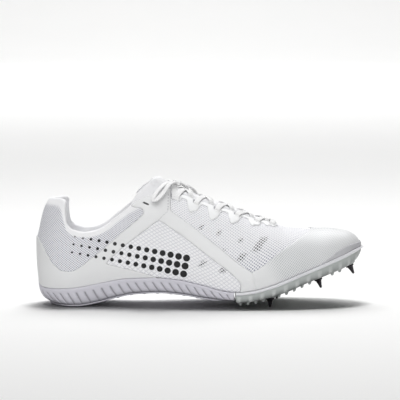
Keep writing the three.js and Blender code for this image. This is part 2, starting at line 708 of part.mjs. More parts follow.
// Solid of a stretch of the sole: a list of rings from the bottom up, each a loop of columns
function soleStretch(shares, stationAt, rings, low) {
  const layerRows = rings.map((ring) => {
    const outerSide = shares.map((share) => soleColumn(share, OUTER, ring, stationAt, low));
    const innerSide = shares.map((share) => soleColumn(share, INNER, ring, stationAt, low));
    return [outerSide, innerSide];
  });
  const columns = shares.length;
  const points = layerRows.flatMap(([outerSide, innerSide]) => [...outerSide, ...innerSide]);
  const faces = [];
  const at = (j, side, i) => j * 2 * columns + side * columns + i;
  const quad = (a, b, c, d) => faces.push(a, b, c, a, c, d);
  const top = rings.length - 1;
  for (let j = 0; j < top; j += 1) {
    for (let i = 0; i < columns - 1; i += 1) {
      quad(at(j, 0, i), at(j, 0, i + 1), at(j + 1, 0, i + 1), at(j + 1, 0, i));
      quad(at(j, 1, i + 1), at(j, 1, i), at(j + 1, 1, i), at(j + 1, 1, i + 1));
    }
    const end = columns - 1;
    quad(at(j, 1, 0), at(j, 0, 0), at(j + 1, 0, 0), at(j + 1, 1, 0));
    quad(at(j, 0, end), at(j, 1, end), at(j + 1, 1, end), at(j + 1, 0, end));
  }
  for (let i = 0; i < columns - 1; i += 1) {
    quad(at(0, 0, i), at(0, 1, i), at(0, 1, i + 1), at(0, 0, i + 1));
    quad(at(top, 0, i), at(top, 0, i + 1), at(top, 1, i + 1), at(top, 1, i));
  }
  return meshOf(points, faces);
}

function soleColumn(share, side, ring, stationAt, low) {
  const x = stationAt(share, ring);
  return soleSide(x, side, ring.level, low, ring.inset + ring.relief(share, x));
}

const foamBottom = (x) => bottom(x) + TREAD_DEPTH;
const noRelief = () => 0;

// Midsole: foam with slanted grooves round its side
function midsole() {
  const walk = spaced((x) => new THREE.Vector3(x, soleOutline.half(x), 0), SOLE_BACK, FOAM_END);
  const girth = FOAM_END + 0.35 * HEEL_WIDTH;
  const ribs = Math.round(girth / RIB_PITCH);
  const shares = [];
  for (let rib = 0; rib < ribs; rib += 1) {
    for (const part of [0, 0.56, 0.78]) shares.push((rib + part) / ribs);
  }
  shares.push(1);
  const groove = (depth) => (share) => {
    const part = share * ribs - Math.floor(share * ribs + 0.01);
    return part > 0.7 && share < 0.999 ? depth : 0;
  };
  const rings = [
    { level: 0.00, inset: SIDE_INSET, relief: noRelief },
    { level: 0.22, inset: 0.25 * SIDE_INSET, relief: groove(0.7 * RIB_DEPTH) },
    { level: 0.66, inset: 0.00, relief: groove(RIB_DEPTH) },
    { level: 0.79, inset: 0.00, relief: noRelief },
    { level: 1.00, inset: 0.10 * SIDE_INSET, relief: noRelief },
  ];
  const stationAt = (share, ring) => {
    const ends = smooth(share, 0, 0.12) * (1 - smooth(share, 0.93, 1));
    const slant = RIB_SLANT / girth * (1 - ring.level) * ends;
    return walk(share + slant);
  };
  return soleStretch(shares, stationAt, rings, foamBottom);
}

// Spike plate: stiff plate from the foam to the toe, with a lip, side ribs and studs' seats
function spikePlate() {
  const start = FOAM_END + 1.1;
  const walk = spaced((x) => new THREE.Vector3(x, soleOutline.half(x), 0), start, SHOE_LENGTH);
  const ribs = Math.round((SHOE_LENGTH - start + 0.28 * BALL_WIDTH) / PLATE_RIB_PITCH);
  const shares = [];
  for (let rib = 0; rib < ribs; rib += 1) {
    for (const part of [0, 0.10, 0.42, 0.52]) shares.push((rib + part) / ribs);
  }
  shares.push(1);
  const tooth = (share) => {
    const part = share * ribs - Math.floor(share * ribs + 0.01);
    return part > 0.06 && part < 0.46 ? -PLATE_RIB_DEPTH : 0;
  };
  const lipLevel = (x) => 1 - PLATE_LIP_HEIGHT / Math.max(feather(x) - bottom(x), PLATE_LIP_HEIGHT * 2);
  const rings = [
    { level: 0.00, inset: SIDE_INSET, relief: noRelief },
    { level: 0.20, inset: 1.3, relief: tooth },
    { level: 0.66, inset: 1.1, relief: noRelief },
    { level: lipLevel(0.75 * SHOE_LENGTH), inset: 1.1 - PLATE_LIP, relief: noRelief },
    { level: 1.00, inset: 0.2, relief: noRelief },
  ];
  const plateBody = toSolid(soleStretch(shares, (share) => walk(share), rings, bottom));
  const seats = STUDS.map((stud) => toSolid(studSeat(stud)));
  const lugs = plateLugs().map((lug) => toSolid(lug));
  const joined = [...seats, ...lugs].reduce((solid, piece) => solid.add(piece), plateBody);
  return fromSolid(mainBody(joined));
}

// Frame of a stud: its place on the plate's underside and the direction that it points in
function studFrame(stud) {
  const x = stud.at * SHOE_LENGTH;
  const y = soleOutline.middle(x) + stud.across * soleOutline.half(x);
  const slope = (bottom(x + 2) - bottom(x - 2)) / 4;
  const rear = stud.at < 0.8;
  const down = rear ? new THREE.Vector3(0, 0, -1) : new THREE.Vector3(slope, 0, -1).normalize();
  const along = new THREE.Vector3(0, 1, 0).cross(down).normalize();
  const across = down.clone().cross(along);
  const base = new THREE.Vector3(x, y, bottom(x));
  const reach = rear ? base.z - STUD_LENGTH : SEAT_SINK;
  base.addScaledVector(down, Math.max(reach, SEAT_SINK));
  return new THREE.Matrix4().makeBasis(along, across, down).setPosition(base);
}

// Seat of a stud: a low round boss on the plate
function studSeat(stud) {
  const height = 5;
  const seat = new THREE.CylinderGeometry(SEAT_RADIUS + 1, SEAT_RADIUS - 1.2, height, 8);
  seat.rotateX(-Math.PI / 2);
  seat.translate(0, 0, -height / 2 - GAP);
  return seat.applyMatrix4(studFrame(stud));
}

// Stud: hexagon flange and cone with a small flat tip
function stud(frame) {
  const profile = [
    [0, 0], [STUD_FLANGE, 0], [STUD_FLANGE, 0.6 * STUD_FLANGE_HEIGHT], [STUD_ROOT, STUD_FLANGE_HEIGHT],
    [STUD_TIP, STUD_LENGTH], [0, STUD_LENGTH],
  ];
  const points = profile.map(([radius, height]) => new THREE.Vector2(radius, height));
  const geometry = new THREE.LatheGeometry(points, 8);
  geometry.rotateX(Math.PI / 2);
  return geometry.applyMatrix4(frame);
}

// Low wedge lugs along both edges of the plate's underside
function plateLugs() {
  const lugs = [];
  const count = 5;
  for (let i = 0; i < count; i += 1) {
    const at = mix(0.635, 0.925, i / (count - 1));
    if (STUDS.some((other) => Math.abs(other.at - at) < 0.018)) continue;
    for (const side of [OUTER, INNER]) {
      const x = at * SHOE_LENGTH;
      const edge = soleOutline.half(x) - SIDE_INSET - 1;
      const ends = [edge, edge - PLATE_LUG_REACH].map((y) => soleOutline.middle(x) + side * y);
      const length = 0.7 * LUG_LENGTH;
      lugs.push(block(x, length, ends, side * 2, bottom, -PLATE_LUG_DEPTH, PLATE_LUG_DEPTH));
    }
  }
  return lugs;
}

// Skewed block under the sole: a bar across the shoe between two heights off a surface
function block(x, length, ends, skew, surface, low, high) {
  const from = Math.min(...ends);
  const to = Math.max(...ends);
  const corners = [];
  for (const height of [low, high]) {
    for (const [dx, y, lead] of [[-1, from, -1], [1, from, -1], [1, to, 1], [-1, to, 1]]) {
      const px = x + dx * length / 2 + lead * skew;
      corners.push(new THREE.Vector3(px, y, surface(px) + height));
    }
  }
  const faces = [0, 2, 1, 0, 3, 2, 4, 5, 6, 4, 6, 7];
  for (let i = 0; i < 4; i += 1) {
    const next = (i + 1) % 4;
    faces.push(i, next, 4 + next, i, 4 + next, 4 + i);
  }
  return meshOf(corners, faces);
}

// Outsole tread: rubber sheet with rows of lugs, flat under the heel
function outsoleTread() {
  const margin = SIDE_INSET + TREAD_MARGIN;
  const back = SOLE_BACK + HEEL_BEVEL + margin - 1.5;
  const plan = {
    back,
    front: FOAM_END - 5,
    middle: soleOutline.middle,
    half: (x) => (soleOutline.half(x) - margin) * round(x - back, 0.3 * HEEL_WIDTH)
      * round(FOAM_END - 5 - x, 0.2 * HEEL_WIDTH),
  };
  const sheetTop = plate(plan, 18, (x) => foamBottom(x) - TREAD_SEAT);
  const sheetBottom = plate(plan, 18, (x) => foamBottom(x) - TREAD_SEAT - TREAD_SHEET);
  let tread = toSolid(solidBetween(sheetBottom, sheetTop, false));
  const heelMiddle = (HEEL_FLAT_START + HEEL_FLAT_END) / 2 + 1;
  const rows = Math.floor((plan.front - 6 - heelMiddle) / LUG_PITCH);
  for (let row = -1; row <= rows; row += 1) {
    const x = heelMiddle + row * LUG_PITCH;
    const edge = plan.half(x) - 1;
    const inHeel = x < 0.2 * SHOE_LENGTH;
    const inner = inHeel ? 0.42 * edge : 0.12 * edge;
    const middle = plan.middle(x);
    const top = TREAD_DEPTH - TREAD_SEAT - 0.5;
    for (const side of [OUTER, INNER]) {
      const ends = [middle + side * inner, middle + side * edge];
      const skew = side * (inHeel ? -1 : 1.6);
      tread = tread.add(toSolid(block(x, LUG_LENGTH, ends, skew, bottom, 0, top)));
    }
    if (inHeel) {
      const ends = [middle - 0.28 * edge, middle + 0.28 * edge];
      tread = tread.add(toSolid(block(x, LUG_LENGTH, ends, 0, bottom, 0, top)));
    }
  }
  return fromSolid(mainBody(tread));
}

// Film over the upper inside a side outline, with its lower edge just clear of the sole
function film(cutter, near, far) {
  const layers = [near, far].map((distance) => layer(UPPER_GRID, () => distance));
  layers.forEach((rings) => rings[0].forEach((point) => point.setZ(feather(point.x) + GAP)));
  return mainBody(toSolid(solidBetween(layers[0], layers[1], true)).intersect(cutter));
}

function quarterOverlay(side) {
  const corners = QUARTER_OUTLINE.map(sideCorner);
  const reach = BALL_WIDTH;
  const seam = GAP / 2;
  const prism = side === OUTER ? sidePrism(corners, -reach, -seam) : sidePrism(corners, seam, reach);
  return fromSolid(film(toSolid(prism), GAP, GAP + FILM));
}

function toeCutter(rows, spread) {
  const corners = rows.map(sideCorner);
  corners.forEach((corner) => corner.add(new THREE.Vector2(-spread, spread)));
  const front = SHOE_LENGTH + 20;
  corners.push(new THREE.Vector2(front, corners[corners.length - 1].y + 30));
  corners.push(new THREE.Vector2(front, corners[0].y - 30));
  return toSolid(sidePrism(corners, -BALL_WIDTH, BALL_WIDTH));
}

function toeOverlay() {
  const cutter = toeCutter(TOE_EDGE, 0).subtract(toeCutter(GUARD_EDGE, 2 * GAP));
  return fromSolid(film(cutter, GAP, GAP + FILM));
}

function toeGuard() {
  return fromSolid(film(toeCutter(GUARD_EDGE, 0), GAP, GAP + GUARD));
}

// Eyestay: strip along the throat with a finger at each eyelet, over the quarter overlay
function eyestay(side) {
  const from = THROAT_TOP + 6;
  const to = THROAT_END - 4;
  const rows = [];
  const steps = 5;
  for (let i = 0; i <= steps; i += 1) {
    const station = mix(from, to, i / steps);
    const edge = edgeAcross(station);
    const acrosses = [0.4, EYESTAY_WIDTH].map((width) => side * (edge + width / halfGirth(station)));
    rows.push(acrosses.map((across) => ({ station, across })));
  }
  const strip = stripSolid(rows);
  const fingers = EYELETS.map(({ at, finger }) => {
    const x = at * SHOE_LENGTH;
    const start = edgeAcross(x) + (EYESTAY_WIDTH - 1) / halfGirth(x);
    const end = start + finger / halfGirth(x);
    const fingerRows = [-0.5, 0.5].map((place) => [0, 1].map((part) => ({
      station: x - 1.4 * EYELET_WIDTH + place * FINGER_WIDTH - 2 * part,
      across: side * mix(start, end, part),
    })));
    return stripSolid(fingerRows);
  });
  const outline = fingers.reduce((solid, finger) => solid.add(finger), strip);
  const cutter = eyeletSlots().reduce((solid, slot) => solid.subtract(slot), outline);
  return fromSolid(film(cutter, GAP, GAP + FILM));
}

// Thick band through the wall, over rows of places on the last, for cutting a film out
function stripSolid(rows) {
  return toSolid(solidBetween(layer(rows, () => -3), layer(rows, () => 4), false));
}

// Flat ribbon along points, each with the direction of its flat side
function ribbon(path, width, thickness) {
  const low = [];
  const high = [];
  path.forEach(({ point, out }, i) => {
    const before = path[Math.max(i - 1, 0)].point;
    const after = path[Math.min(i + 1, path.length - 1)].point;
    const along = after.clone().sub(before).normalize();
    const across = along.clone().cross(out).normalize().multiplyScalar(width / 2);
    const lift = out.clone().multiplyScalar(thickness);
    low.push([point.clone().sub(across), point.clone().add(across)]);
    high.push([point.clone().sub(across).add(lift), point.clone().add(across).add(lift)]);
  });
  return solidBetween(low, high, false);
}

// Lace from an eyelet on one side to one on the other, down onto the tongue in the middle
function laceRun(from, to, rise) {
  const steps = 4;
  const path = [];
  for (let i = 0; i <= steps; i += 1) {
    const t = i / steps;
    const station = mix(from.station, to.station, t);
    const across = mix(from.across, to.across, t);
    const half = Math.abs(across) * halfGirth(station);
    const inside = clamp(1 - Math.pow(half / throatHalf(station + LACE_WIDTH / 2), 2), 0, 1);
    const lift = LACE_LIFT + rise - LACE_SAG * inside;
    path.push({ point: nearLast(station, across, lift), out: lastNormal(station, across) });
  }
  return path;
}

function eyeletPlace(number, side) {
  const station = EYELETS[number].at * SHOE_LENGTH;
  return { station, across: eyeletAcross(station, side) };
}

// Crossings of the lace between the eyelets, joined, with a bar at each end.
// Each ribbon rises a little over the one that it crosses.
function laceBars() {
  const runs = [];
  const last = EYELETS.length - 1;
  for (let i = 0; i < last; i += 1) {
    for (const side of [OUTER, INNER]) {
      const rise = LACE_RISE * ((i % 2) + (side === INNER ? 0.5 : 0));
      runs.push(laceRun(eyeletPlace(i, side), eyeletPlace(i + 1, -side), rise));
    }
  }
  for (const end of [0, last]) {
    runs.push(laceRun(eyeletPlace(end, OUTER), eyeletPlace(end, INNER), 2 * LACE_RISE));
  }
  const solids = runs.map((run) => toSolid(ribbon(run, LACE_WIDTH, LACE_THICKNESS)));
  return fromSolid(mainBody(solids.reduce((solid, piece) => solid.add(piece))));
}

// Knot of the bow over the top crossing
const barTop = LACE_LIFT + 2 * LACE_RISE - LACE_SAG + LACE_THICKNESS;
const knotLift = barTop + GAP + KNOT_FLATNESS * KNOT_SIZE / 2;
const knotCentre = nearLast(EYELETS[0].at * SHOE_LENGTH, 0, knotLift);

function laceKnot() {
  const knot = new THREE.IcosahedronGeometry(0.5, 1);
  knot.scale(KNOT_SIZE, KNOT_SIZE, KNOT_FLATNESS * KNOT_SIZE);
  knot.rotateY(KNOT_TILT);
  return knot.translate(knotCentre.x, knotCentre.y, knotCentre.z);
}

// Free stretches of the lace, as offsets from the knot's centre.
// A point beside the knot gives only the direction in which the lace leaves the knot.
const LACE_PATHS = {
  lace_loop_outer: [
    [-4.6, -2.7, 0.6], [-9, -9.5, 0.8], [-14, -18, -2.5], [-18.5, -25, -7.5], [-20.5, -30, -12],
    [-17.5, -30.3, -12.3], [-12.5, -25.5, -7.5], [-6.5, -17, 0.2], [-1.5, -5.3, 0.8],
  ],
  lace_loop_inner: [
    [-3.4, 4.1, 0.6], [-7, 12, 0.8], [-11, 20.5, -3.5], [-14.5, 26.5, -9.5], [-16, 30.5, -14.5],
    [-12, 31, -15.2], [-8.5, 26.5, -8.5], [-4, 19, -0.2], [0.5, 5.4, 0.7],
  ],
  lace_end_outer: [
    [4.1, 3.4, -0.6], [7.5, 12, -1.5], [9, 20, -5], [9.2, 26, -11], [8.7, 30, -18],
  ],
  lace_end_inner: [
    [5.3, 0.2, -0.9], [10.5, 2.6, -1.8], [15, 11, -3.8], [18, 20.5, -10.5], [19, 26.8, -18.5],
  ],
};

// Point just off the knot in the direction of an offset from its centre
function besideKnot(offset) {
  const tilted = offset.clone().applyAxisAngle(new THREE.Vector3(0, 1, 0), -KNOT_TILT);
  const reach = Math.hypot(tilted.x, tilted.y, tilted.z / KNOT_FLATNESS) / (KNOT_SIZE / 2);
  return offset.clone().divideScalar(reach).addScaledVector(offset.clone().normalize(), 2 * GAP);
}

function cord(points) {
  const offsets = points.map((offset) => new THREE.Vector3(...offset));
  const places = offsets.map((offset) => (offset.length() < KNOT_SIZE ? besideKnot(offset) : offset));
  const path = new THREE.CatmullRomCurve3(places.map((place) => place.add(knotCentre)));
  const ring = new THREE.Shape();
  ring.absarc(0, 0, CORD_RADIUS, 0, 2 * Math.PI, false);
  return new THREE.ExtrudeGeometry(ring, { curveSegments: 4, steps: points.length + 2, extrudePath: path });
}

function finish(colour, roughness, metalness = 0) {
  return new THREE.MeshStandardMaterial({ color: colour, roughness, metalness });
}

const shoe = new THREE.Group();
shoe.position.x = -((HEEL_FLAT_START + HEEL_FLAT_END) / 2 + 1);

function add(name, geometry, material) {
  const mesh = new THREE.Mesh(geometry, material);
  mesh.name = name;
  shoe.add(mesh);
}

add('upper', upper(), finish('#f1f1f3', 0.9));
add('tongue', tongue(), finish('#ededf0', 0.95));
add('insole', insole(), finish('#e4e4e6', 0.95));
add('midsole', midsole(), finish('#d5d4dc', 0.7));
add('outsole_tread', outsoleTread(), finish('#cfced6', 0.75));
add('spike_plate', spikePlate(), finish('#c8cdcb', 0.35));
for (const row of STUDS) add(row.name, stud(studFrame(row)), finish('#17151a', 0.35, 0.8));
add('quarter_overlay_outer', quarterOverlay(OUTER), finish('#e6e6e6', 0.6));
add('quarter_overlay_inner', quarterOverlay(INNER), finish('#e6e6e6', 0.6));
add('toe_overlay', toeOverlay(), finish('#e9e9ea', 0.6));
add('toe_guard', toeGuard(), finish('#dcdcde', 0.55));
add('eyestay_outer', eyestay(OUTER), finish('#f4f4f5', 0.6));
add('eyestay_inner', eyestay(INNER), finish('#f4f4f5', 0.6));
add('lace_bars', laceBars(), finish('#f6f6f8', 0.85));
add('lace_knot', laceKnot(), finish('#f6f6f8', 0.85));
for (const [name, points] of Object.entries(LACE_PATHS)) add(name, cord(points), finish('#f6f6f8', 0.85));

export default shoe;
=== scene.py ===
import math

import bpy
import numpy as np
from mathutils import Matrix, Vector


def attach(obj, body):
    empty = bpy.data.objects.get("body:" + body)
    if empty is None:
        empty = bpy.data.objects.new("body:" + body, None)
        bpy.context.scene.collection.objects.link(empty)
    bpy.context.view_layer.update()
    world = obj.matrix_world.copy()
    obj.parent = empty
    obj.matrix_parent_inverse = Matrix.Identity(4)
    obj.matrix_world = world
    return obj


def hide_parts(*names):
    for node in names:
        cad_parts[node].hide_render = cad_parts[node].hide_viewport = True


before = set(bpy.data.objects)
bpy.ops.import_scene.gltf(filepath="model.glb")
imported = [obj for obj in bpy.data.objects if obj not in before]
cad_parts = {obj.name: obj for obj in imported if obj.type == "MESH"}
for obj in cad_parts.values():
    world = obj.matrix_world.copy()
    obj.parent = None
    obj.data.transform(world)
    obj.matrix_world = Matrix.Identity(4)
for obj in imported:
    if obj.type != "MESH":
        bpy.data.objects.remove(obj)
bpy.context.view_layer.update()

bl_info = {
    "name": "Track spike shoe",
    "version": (1, 0, 0),
    "blender": (4, 5, 0),
    "location": "View3D > Sidebar > Shoe",
    "description": "Builds a white lace-up running shoe with a stud plate, piece by piece",
    "category": "Add Mesh",
}

# The surface functions work in millimetres from the back of the heel, as a last maker measures.
MM = 0.001
HEEL_TO_ORIGIN = 24.5
OUTER, INNER = -1, 1
SIDES = ((OUTER, "outer"), (INNER, "inner"))


def metres(name, description, default):
    return bpy.props.FloatProperty(name=name, description=description, default=default,
                                   subtype="DISTANCE", unit="LENGTH")


def tint(name, description, default):
    return bpy.props.FloatVectorProperty(name=name, description=description, default=default,
                                         size=3, subtype="COLOR")


class ShoeSizes(bpy.types.PropertyGroup):
    """Thicknesses and widths that are set by themselves"""

    wall: metres("Wall", "Thickness of the upper's cloth", 0.0018)
    padding: metres("Collar padding", "Thickness of the wall at the collar", 0.0046)
    film: metres("Film", "Thickness of the smooth films", 0.0003)
    lace_width: metres("Lace width", "Width of the flat lace", 0.0046)
    bow_width: metres("Bow lace width", "Width of the gathered lace in the bow", 0.0040)


class ShoeColours(bpy.types.PropertyGroup):
    """Colours of the shoe"""

    cloth: tint("Cloth", "Threads of the mesh", (0.94, 0.94, 0.955))
    opening: tint("Openings", "Holes of the mesh", (0.27, 0.28, 0.36))
    film: tint("Film", "Smooth films", (0.79, 0.795, 0.80))
    guard: tint("Toe guard", "Film round the tip of the toe", (0.55, 0.55, 0.57))
    foam: tint("Foam", "Midsole and tread", (0.66, 0.65, 0.71))
    plate: tint("Plate", "Stud plate", (0.50, 0.53, 0.52))
    lace: tint("Lace", "Flat lace", (0.92, 0.92, 0.92))
    steel: tint("Studs", "Blackened steel", (0.020, 0.017, 0.021))
    graphic: tint("Dots", "Printed dots", (0.012, 0.012, 0.013))


def sizes():
    return bpy.context.scene.shoe_sizes


def colours():
    return bpy.context.scene.shoe_colours


def shade(colour, factor):
    return [part * factor for part in colour]


# Form of the last


class Curve:
    """Smooth curve through the rows of a table, without overshoot."""

    def __init__(self, rows, scale=1.0):
        self.x = np.array([row[0] for row in rows], float)
        self.y = np.array([row[1] for row in rows], float) * scale
        slope = np.diff(self.y) / np.diff(self.x)
        self.slopes = np.zeros_like(self.y)
        before, after = slope[:-1], slope[1:]
        same = before * after > 0
        total = np.where(same, before + after, 1)
        self.slopes[1:-1] = np.where(same, 2 * before * after / total, 0)

    def __call__(self, x):
        x = np.clip(x, self.x[0], self.x[-1])
        i = np.clip(np.searchsorted(self.x, x, side="right") - 1, 0, len(self.x) - 2)
        span = self.x[i + 1] - self.x[i]
        t = (x - self.x[i]) / span
        rise = t * t * (3 - 2 * t)
        start = t * (1 - t) ** 2 * self.slopes[i] * span
        end = t * t * (t - 1) * self.slopes[i + 1] * span
        return self.y[i] + (self.y[i + 1] - self.y[i]) * rise + start + end


# These sizes and tables are the ones that the solids are worked out from.
LENGTH = 285.0
BALL, HEEL, WAIST = 92.0, 64.0, 60.0
TAB, COLLAR, EYESTAY, INSTEP, TOE_BOX = 94.0, 64.2, 99.5, 97.0, 65.2
HEEL_LIFT, ARCH_LIFT, BALL_LIFT, TOE_LIFT = 16.4, 26.0, 14.6, 50.0
BULGE, TAB_LEAN, TUCK, RIDGE_SHIFT = 1.7, 13.0, 0.05, 3.5
THROAT, THROAT_END, THROAT_TOP, THROAT_ROUND = 37.0, 0.744 * LENGTH, 0.3965 * LENGTH, 14.0
WALL, GAP, SOLE_MARGIN = 1.8, 0.3, 1.2
FOAM_END, HEEL_BEVEL, SIDE_INSET, TREAD_DEPTH = 0.603 * LENGTH, 8.0, 3.4, 2.5
HEEL_ROUND, TOE_ROUND, TOE_BLUNTNESS = 0.5 * HEEL, 0.42 * BALL, 32.0
SOLE_BACK, UPPER_BACK, UPPER_FRONT = BULGE - 0.6, BULGE, LENGTH - 1.8
EYELETS = (0.424, 0.483, 0.546, 0.608, 0.670, 0.716)

plan_shift = Curve([(0.00, 0.0), (0.12, 0.0), (0.22, -0.005), (0.35, -0.027), (0.47, -0.036), (0.58, -0.026),
                    (0.67, -0.003), (0.76, 0.026), (0.86, 0.058), (0.95, 0.088), (1.00, 0.100)], BALL)
plan_half = Curve([(0.00, 0.500 * HEEL), (0.12, 0.490 * HEEL), (0.22, 0.485 * WAIST), (0.35, 0.500 * WAIST),
                   (0.47, 0.395 * BALL), (0.58, 0.465 * BALL), (0.67, 0.500 * BALL), (0.76, 0.485 * BALL),
                   (0.86, 0.420 * BALL), (0.95, 0.360 * BALL), (1.00, 0.340 * BALL)])
feather_curve = Curve([(0.000, 1.24 * HEEL_LIFT), (0.025, 1.00 * HEEL_LIFT), (0.060, 0.98 * HEEL_LIFT),
                       (0.120, 1.05 * HEEL_LIFT), (0.200, 0.82 * ARCH_LIFT), (0.280, 0.97 * ARCH_LIFT),
                       (0.360, 1.00 * ARCH_LIFT), (0.430, 0.95 * ARCH_LIFT), (0.510, 1.38 * BALL_LIFT),
                       (0.570, 1.08 * BALL_LIFT), (0.610, 1.00 * BALL_LIFT), (0.663, 1.12 * BALL_LIFT),
                       (0.725, 1.46 * BALL_LIFT), (0.790, 0.57 * TOE_LIFT), (0.862, 0.73 * TOE_LIFT),
                       (0.930, 0.88 * TOE_LIFT), (1.000, 1.00 * TOE_LIFT)])
bottom_curve = Curve([(0.000, 0.0), (10 / 285, 0.0), (37 / 285, 0.0), (0.180, 0.13 * HEEL_LIFT),
                      (0.250, 0.28 * ARCH_LIFT), (0.300, 0.39 * ARCH_LIFT), (0.380, 0.44 * ARCH_LIFT),
                      (0.450, 0.39 * ARCH_LIFT), (0.520, 0.49 * BALL_LIFT), (0.600, 0.35 * BALL_LIFT),
                      (0.650, 0.42 * BALL_LIFT), (0.700, 0.62 * BALL_LIFT), (0.760, 0.96 * BALL_LIFT),
                      (0.820, 0.42 * TOE_LIFT), (0.900, 0.58 * TOE_LIFT), (0.950, 0.68 * TOE_LIFT),
                      (0.984, 0.80 * TOE_LIFT), (1.000, 0.93 * TOE_LIFT)])
RIDGE = [(0.000, 1.60 * TAB, 2.00), (0.200, 1.58 * TAB, 2.00), (0.280, 1.40 * INSTEP, 2.05),
         (0.330, 1.25 * INSTEP, 2.10), (0.370, 1.16 * INSTEP, 2.15), (0.420, 1.06 * INSTEP, 2.20),
         (0.470, 1.00 * INSTEP, 2.20), (0.526, 0.94 * INSTEP, 2.20), (0.600, 0.86 * INSTEP, 2.20),
         (0.667, 0.78 * INSTEP, 2.20), (0.720, 0.735 * INSTEP, 2.20), (0.760, 1.030 * TOE_BOX, 2.20),
         (0.810, 1.010 * TOE_BOX, 2.25), (0.870, 0.990 * TOE_BOX, 2.30), (0.920, 1.000 * TOE_BOX, 2.30),
         (0.965, 1.030 * TOE_BOX, 2.30), (1.000, 1.020 * TOE_BOX, 2.30)]
ridge_curve = Curve([(at, height) for at, height, box in RIDGE])
box_curve = Curve([(at, box) for at, height, box in RIDGE])
collar_curve = Curve([(0.000, 0.985 * TAB), (0.035, 0.985 * TAB), (0.056, 0.970 * TAB), (0.068, 0.930 * TAB),
                      (0.080, 0.850 * TAB), (0.094, 1.090 * COLLAR), (0.115, 1.020 * COLLAR),
                      (0.150, 0.990 * COLLAR), (0.175, 1.003 * COLLAR), (0.200, 1.040 * COLLAR),
                      (0.250, 0.785 * EYESTAY), (0.285, 0.870 * EYESTAY), (0.315, 0.933 * EYESTAY),
                      (0.350, 0.968 * EYESTAY), (0.380, 0.990 * EYESTAY), (0.420, 1.000 * EYESTAY),
                      (1.000, 1.000 * EYESTAY)])
throat_curve = Curve([(0.36, 0.37), (0.42, 0.30), (0.48, 0.32), (0.55, 0.35), (0.60, 0.32), (0.70, 0.25),
                      (0.75, 0.23)], THROAT)
back_curve = Curve([(0.00, 0.0), (0.18, -0.65 * BULGE), (0.38, -1.00 * BULGE), (0.50, -0.92 * BULGE),
                    (0.60, 0.01 * TAB_LEAN), (0.70, 0.13 * TAB_LEAN), (0.80, 0.29 * TAB_LEAN),
                    (0.90, 0.54 * TAB_LEAN), (1.00, 1.00 * TAB_LEAN), (2.00, 2.60 * TAB_LEAN)])


def smooth(x, low, high):
    t = np.clip((x - low) / (high - low), 0, 1)
    return t * t * (3 - 2 * t)


def mix(a, b, t):
    return a + (b - a) * t


def unit(way):
    """Ways, along the last axis, brought to a length of 1."""
    return way / np.maximum(np.linalg.norm(way, axis=-1, keepdims=True), 1e-9)


def rounding(distance, reach):
    return np.sqrt(np.maximum(1 - (1 - np.clip(distance / reach, 0, 1)) ** 2, 0))


def feather(x):
    return feather_curve(x / LENGTH)


def bottom(x):
    return bottom_curve(x / LENGTH)


def bottom_slope(x):
    return (bottom(x + 2) - bottom(x - 2)) / 4


def middle(x):
    return plan_shift(x / LENGTH)


def plan_inside(x, margin, back, front):
    """Half width of a plan that is a margin inside the sole's and closes round its two ends."""
    narrow = plan_half(x / LENGTH) - margin
    return narrow * rounding(x - back, HEEL_ROUND - margin) * rounding(front - x, TOE_ROUND - margin)


def sole_half(x):
    return plan_inside(x, 0.0, SOLE_BACK, LENGTH)


def upper_half(x):
    return plan_inside(x, SOLE_MARGIN, UPPER_BACK, UPPER_FRONT)


def dome_rise(x):
    return (ridge_curve(x / LENGTH) - feather(x)) * rounding(UPPER_FRONT - x, TOE_BLUNTNESS)


def last_point(station, across):
    """Points of the closed form: across is -1 at the outer feather, 0 on the ridge, 1 at the inner."""
    x = np.clip(station, UPPER_BACK, UPPER_FRONT)
    arch = (1 - np.clip(np.abs(across), 0, 1)) * math.pi / 2
    power = 2 / box_curve(x / LENGTH)
    up = np.sin(arch) ** power
    out = np.maximum(np.cos(arch), 0) ** power
    height = dome_rise(x) * up
    tuck = 1 - TUCK * (1 - np.clip(height / (0.5 * ARCH_LIFT), 0, 1)) ** 2
    shift = RIDGE_SHIFT * up * smooth(x, 0.45 * LENGTH, 0.7 * LENGTH)
    leaning = (1 - np.clip((x - UPPER_BACK) / (0.32 * LENGTH), 0, 1)) ** 2
    lean = back_curve(height / (TAB - HEEL_LIFT)) * leaning
    y = middle(x) + shift * rounding(UPPER_FRONT - x, TOE_BLUNTNESS) \
        + np.sign(across) * upper_half(x) * out * tuck
    return np.stack([x + lean, y, feather(x) + height], axis=-1)


def last_normal(station, across):
    dx, da = 0.05, 0.004
    x = np.clip(station, UPPER_BACK + dx, UPPER_FRONT - dx)
    a = np.clip(across, -1 + da, 1 - da)
    along = last_point(x + dx, a) - last_point(x - dx, a)
    over = last_point(x, a + da) - last_point(x, a - da)
    return unit(np.cross(along, over))


def near_last(station, across, distance):
    distance = np.asarray(distance, float)
    return last_point(station, across) + last_normal(station, across) * distance[..., None]


# Creases of worn cloth seen from the side, in millimetres: their two ends, half width and rise
CREASES = [
    (62, 57, 80, 50, 4.0, -0.50), (90, 60, 104, 74, 5.0, -0.35), (176, 64, 203, 38, 4.0, -0.55),
    (187, 66, 213, 42, 4.0, 0.40), (222, 60, 240, 44, 4.5, -0.35), (231, 60, 250, 47, 5.0, 0.25),
]


def crease(points):
    """Rise of the soft troughs and ridges at points of the last."""
    rise = np.zeros(points.shape[:-1])
    for x0, z0, x1, z1, wide, high in CREASES:
        way = np.array([x1 - x0, z1 - z0], float)
        away = points[..., [0, 2]] - (x0, z0)
        t = np.clip(away @ way / (way @ way), 0, 1)
        distance = np.linalg.norm(away - t[..., None] * way, axis=-1)
        fading = np.sin(math.pi * np.clip(t, 0.04, 0.96)) ** 0.5
        rise = rise + high * np.exp(-(distance / wide) ** 2) * fading
    return rise


def worn(station, across, distance):
    """Points at a distance off the last, with its creases."""
    return near_last(station, across, distance + crease(last_point(station, across)))


